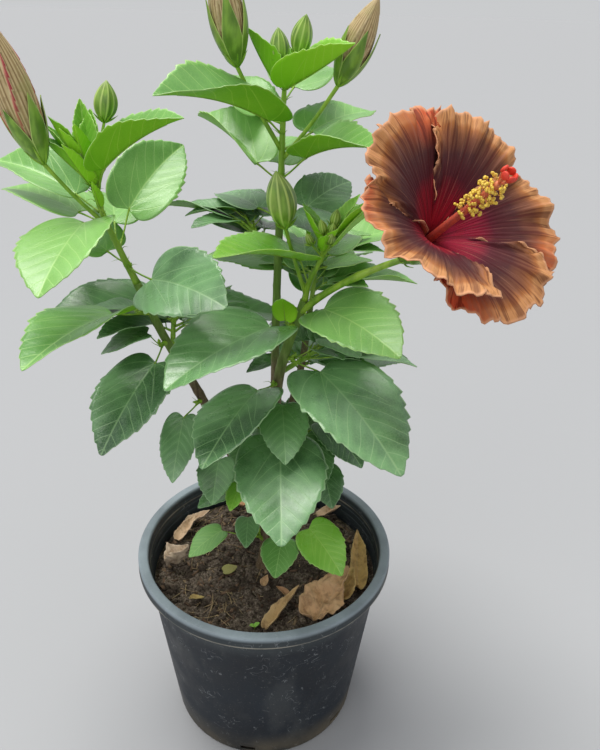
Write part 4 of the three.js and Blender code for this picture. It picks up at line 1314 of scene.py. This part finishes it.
def heartFinish():
    newMaterial("columnAndAnthers", 0.5, 0.35)
    tint = attribute("tint")
    dots = grain(place(), 300, 3)
    colour = ramp(tint, [(0.0, (0.3, 0.004, 0.01)), (0.2, (0.55, 0.14, 0.09)), (0.3, (0.6, 0.27, 0.13)),
                         (0.45, (0.72, 0.5, 0.08)), (0.6, (0.72, 0.5, 0.08)),
                         (0.9, (0.62, 0.05, 0.03))])
    colour = blendColours(times(band(dots, 0.4, 0.6), 0.3), colour, (0.95, 0.72, 0.3), "OVERLAY")
    return dressed(colour, dots, 0.6, 0.4)


def potFinish():
    newMaterial("potPlastic", 0.5, 0.32)
    here = place()
    z = split(here)[2]
    cloudy = grain(here, 16, 5, rough=0.6)
    streaky = grain(here, 26, 4, stretch=(1, 1, 0.35), rough=0.6)
    speck = grain(here, 420, 3)

    def scuffs(scale, width, patchScale, low, **form):
        winding = calc("ABSOLUTE", calc("SUBTRACT", grain(here, scale, 2, **form), 0.5))
        lines = fade(winding, width * 0.3, width)
        return times(lines, band(grain(here, patchScale, 3), low, low + 0.08))

    marks = calc("MAXIMUM", scuffs(52, 0.011, 50, 0.55, stretch=(1, 1, 1.8)),
                 scuffs(90, 0.014, 70, 0.58, stretch=(1.6, 1.6, 1), turn=(0.4, 0.6, 0.2)))
    colour = blendColours(band(cloudy, 0.3, 0.7), (0.004, 0.007, 0.012), (0.016, 0.022, 0.031))
    dusted = times(band(streaky, 0.5, 0.7), 0.4)
    colour = blendColours(dusted, colour, (0.07, 0.075, 0.075))
    upper = times(band(z, 0.162, 0.176), 0.6)
    colour = blendColours(upper, colour, (0.045, 0.057, 0.062))
    colour = blendColours(times(marks, 0.75), colour, (0.19, 0.205, 0.215))
    foot = times(fade(z, 0.0, 0.04), band(cloudy, 0.35, 0.6, 0.2, 1.0))
    colour = blendColours(times(foot, 0.7), colour, (0.17, 0.14, 0.09))
    # The rim's top face is paler and bluer: dust, and a painted sheen where it faces the sky
    rimTopDustAndSheen = times(band(z, 0.1945, 0.199), band(cloudy, 0.3, 0.7, 0.6, 1.0))
    colour = blendColours(times(rimTopDustAndSheen, 0.9), colour, (0.3, 0.36, 0.4))
    # A thin pale line along the lip under the skirt: dust, and a painted highlight along its edge
    fromLip = calc("ABSOLUTE", calc("SUBTRACT", z, (skirtFoot + 0.9) * mm))
    lip = times(fade(fromLip, 0.0004, 0.0014), band(streaky, 0.35, 0.6, 0.25, 0.8))
    colour = blendColours(lip, colour, (0.32, 0.3, 0.25))
    specks = times(band(speck, 0.62, 0.78), 0.35)
    colour = blendColours(specks, colour, (0.2, 0.2, 0.18))
    height = calc("ADD", speck, times(marks, 0.6))
    return dressed(colour, height, 0.25, 0.25, band(cloudy, 0.3, 0.7, 0.42, 0.66))


def soilFinish():
    newMaterial("pottingMix", 0.92, 0.2)
    here = place()
    coarse = grain(here, 60, 5, rough=0.65)
    fine = grain(here, 420, 4, rough=0.7)
    colour = ramp(fine, [(0.3, (0.03, 0.022, 0.016)), (0.44, (0.1, 0.077, 0.058)),
                         (0.56, (0.19, 0.15, 0.115)), (0.68, (0.36, 0.3, 0.24))])
    colour = blendColours(band(coarse, 0.42, 0.62, 0.0, 0.8), colour, (0.04, 0.029, 0.021))
    return dressed(colour, calc("ADD", fine, coarse), 0.9, 1.6)


def chipFinish():
    newMaterial("barkChipsAndStraw", 0.85, 0.2)
    here = place()
    fine = grain(here, 380, 4, stretch=(1, 1, 0.5))
    colour = ramp(attribute("tint"), [
        (0.0, (0.035, 0.024, 0.016)), (0.3, (0.12, 0.075, 0.048)), (0.55, (0.24, 0.155, 0.1)),
        (0.62, (0.3, 0.22, 0.13)), (1.0, (0.48, 0.36, 0.2))])
    colour = blendColours(band(fine, 0.4, 0.7, 0.0, 0.5), colour, (0.02, 0.014, 0.01))
    return dressed(colour, fine, 0.7, 0.6)


def dryFinish():
    newMaterial("dryLeaf", 0.8, 0.2)
    u, v, _ = split(place("UV"))
    x = calc("ABSOLUTE", calc("SUBTRACT", u, 0.5))
    rise = times(x, blade["veinLean"])
    quills = calc("DIVIDE", calc("SUBTRACT", v, rise), blade["veinGap"])
    nearest = calc("ABSOLUTE", calc("SUBTRACT", calc("FRACT", quills), 0.5))
    veins = calc("MAXIMUM", band(nearest, 0.44, 0.5), fade(x, 0.004, 0.02))
    mottled = grain(place(), 90, 5, rough=0.65)
    colour = ramp(attribute("tint"), [
        (0.0, (0.24, 0.11, 0.05)), (0.12, (0.54, 0.32, 0.17)), (0.2, (0.66, 0.43, 0.24)),
        (0.4, (0.74, 0.6, 0.45)), (0.5, (0.62, 0.44, 0.22)), (0.7, (0.34, 0.33, 0.12)),
        (0.9, (0.66, 0.45, 0.18)), (1.0, (0.74, 0.52, 0.22))])
    colour = blendColours(band(mottled, 0.45, 0.7, 0.0, 0.65), colour, (0.2, 0.1, 0.045))
    colour = blendColours(times(veins, 0.3), colour, (0.6, 0.45, 0.28))
    return dressed(colour, calc("ADD", mottled, veins), 0.7, 0.7)


# Pieces: each kind of thing joined into one piece, standing for the solids that it covers

masses = tuple(foliage)
finishes = {age: [leafFinish(age + "LeafTop", {**topLook, **leafLooks[age]}),
                  leafFinish(age + "LeafUnder", {**underLook, **underLooks[age]})]
            for age in leafLooks}
for age, sheet in sheets.items():
    finishPiece(age + "_leaves", sheet, finishes.get(age, finishes["old"]), masses,
                wall=blade["thickness"])
finishPiece("shoots_and_stalks", twigs, [stemFinish()], masses + ("bloom",))
ribbed = greenFinish("calyxGreen", "tint", 0.15, 0.9, 0.75)
edged = greenFinish("sepalGreen", "edge", 0.86, 0.97, 0.8)
finishPiece("calyces", greens, [ribbed], masses + ("bloom",))
finishPiece("sepals", sepals, [edged, edged], masses + ("bloom",), wall=0.5)
finishPiece("bud_petals", petals, [budFinish()], ("left_crown", "tall_crown"))
finishPiece("stems", limbBody, [barkFinish()], tuple(limbs))
upper = petalFinish("petalFace", [
    (0.05, (0.1, 0.0, 0.003)), (0.22, (0.32, 0.001, 0.012)), (0.38, (0.24, 0.003, 0.014)),
    (0.5, (0.075, 0.009, 0.016)), (0.68, (0.075, 0.024, 0.024)), (0.82, (0.18, 0.066, 0.033)),
    (0.93, (0.37, 0.14, 0.045)), (1.0, (0.53, 0.25, 0.1))],
    (0.34, 0.15, 0.1), (0.58, 0.08, 0.03), (0.24, 0.006, 0.05))
under = petalFinish("petalBack", [
    (0.1, (0.42, 0.1, 0.04)), (0.6, (0.46, 0.07, 0.025)), (1.0, (0.55, 0.12, 0.04))],
    (0.6, 0.2, 0.1), (0.5, 0.06, 0.025), (0.45, 0.05, 0.05))
finishPiece("bloom_petals", flower, [under, upper], ("bloom",), wall=bloom["thickness"])
finishPiece("bloom_column", heart, [heartFinish()], ("bloom",))
finishPiece("nursery_pot", potBody, [potFinish()], ("pot",))
finishPiece("potting_mix", ground, [soilFinish()], ("soil",))
finishPiece("chips_and_straw", chips, [chipFinish()], ("soil",))
finishPiece("dry_leaves", litter, [dryFinish(), dryFinish()],
            [f"dry_leaf_{i + 1}" for i in range(len(dryLeaves))], wall=0.5)


# Stage: a pale floor, soft lights and the camera

stage = dict(
    floor=(0.352, 0.359, 0.374), floorRadius=60, floorSides=96, sky=(0.983, 1.0, 1.017), skyStrength=0.6,
    sun=(-0.45, 0.35, 1.9), sunStrength=3.4, sunSpread=38,
    lights=[("front", (-0.8, -1.3, 1.5), 1.2, 7, (1.0, 0.98, 0.95))])
view = dict(at=(31.7, -552.5, 686.3), down=28.0, roll=1.4, focal=700, wide=600, high=750, sensor=36)

floorBody = bmesh.new()
bmesh.ops.create_circle(floorBody, cap_ends=True, segments=stage["floorSides"], radius=stage["floorRadius"])
floorMesh = bpy.data.meshes.new("floor")
floorBody.to_mesh(floorMesh)
floorBody.free()
floorPiece = bpy.data.objects.new("floor", floorMesh)
bpy.context.collection.objects.link(floorPiece)
floorMesh.materials.append(newMaterial("paleFloor", 0.85, 0.2, **{"Base Color": (*stage["floor"], 1)}))

aim = Vector((0, 0, 0.36))
for name, at, size, power, colour in stage["lights"]:
    lamp = bpy.data.lights.new(name, "AREA")
    lamp.energy, lamp.size, lamp.color = power, size, colour
    stand = bpy.data.objects.new(name, lamp)
    stand.location = at
    stand.rotation_euler = (aim - Vector(at)).to_track_quat("-Z", "Y").to_euler()
    bpy.context.collection.objects.link(stand)
sun = bpy.data.lights.new("softSun", "SUN")
sun.energy, sun.angle, sun.color = stage["sunStrength"], math.radians(stage["sunSpread"]), (1.0, 0.98, 0.94)
sunStand = bpy.data.objects.new("softSun", sun)
sunStand.rotation_euler = Vector(stage["sun"]).to_track_quat("Z", "Y").to_euler()
bpy.context.collection.objects.link(sunStand)
world = bpy.data.worlds.new("softSky")
world.use_nodes = True
sky = world.node_tree.nodes["Background"]
sky.inputs[0].default_value = (*stage["sky"], 1)
sky.inputs[1].default_value = stage["skyStrength"]
bpy.context.scene.world = world
bpy.context.scene.view_settings.view_transform = "Standard"

lens = bpy.data.cameras.new("camera")
lens.sensor_width = view["sensor"]
lens.sensor_fit = "AUTO"
lens.lens = view["sensor"] * view["focal"] / max(view["wide"], view["high"])
camera = bpy.data.objects.new("camera", lens)
tipped = Matrix.Rotation(math.radians(90 - view["down"]), 4, "X")
turned = Matrix.Rotation(math.radians(view["roll"]), 4, "Z")
camera.matrix_world = Matrix.Translation(Vector(view["at"]) * mm) @ (tipped @ turned)
bpy.context.collection.objects.link(camera)
bpy.context.scene.camera = camera
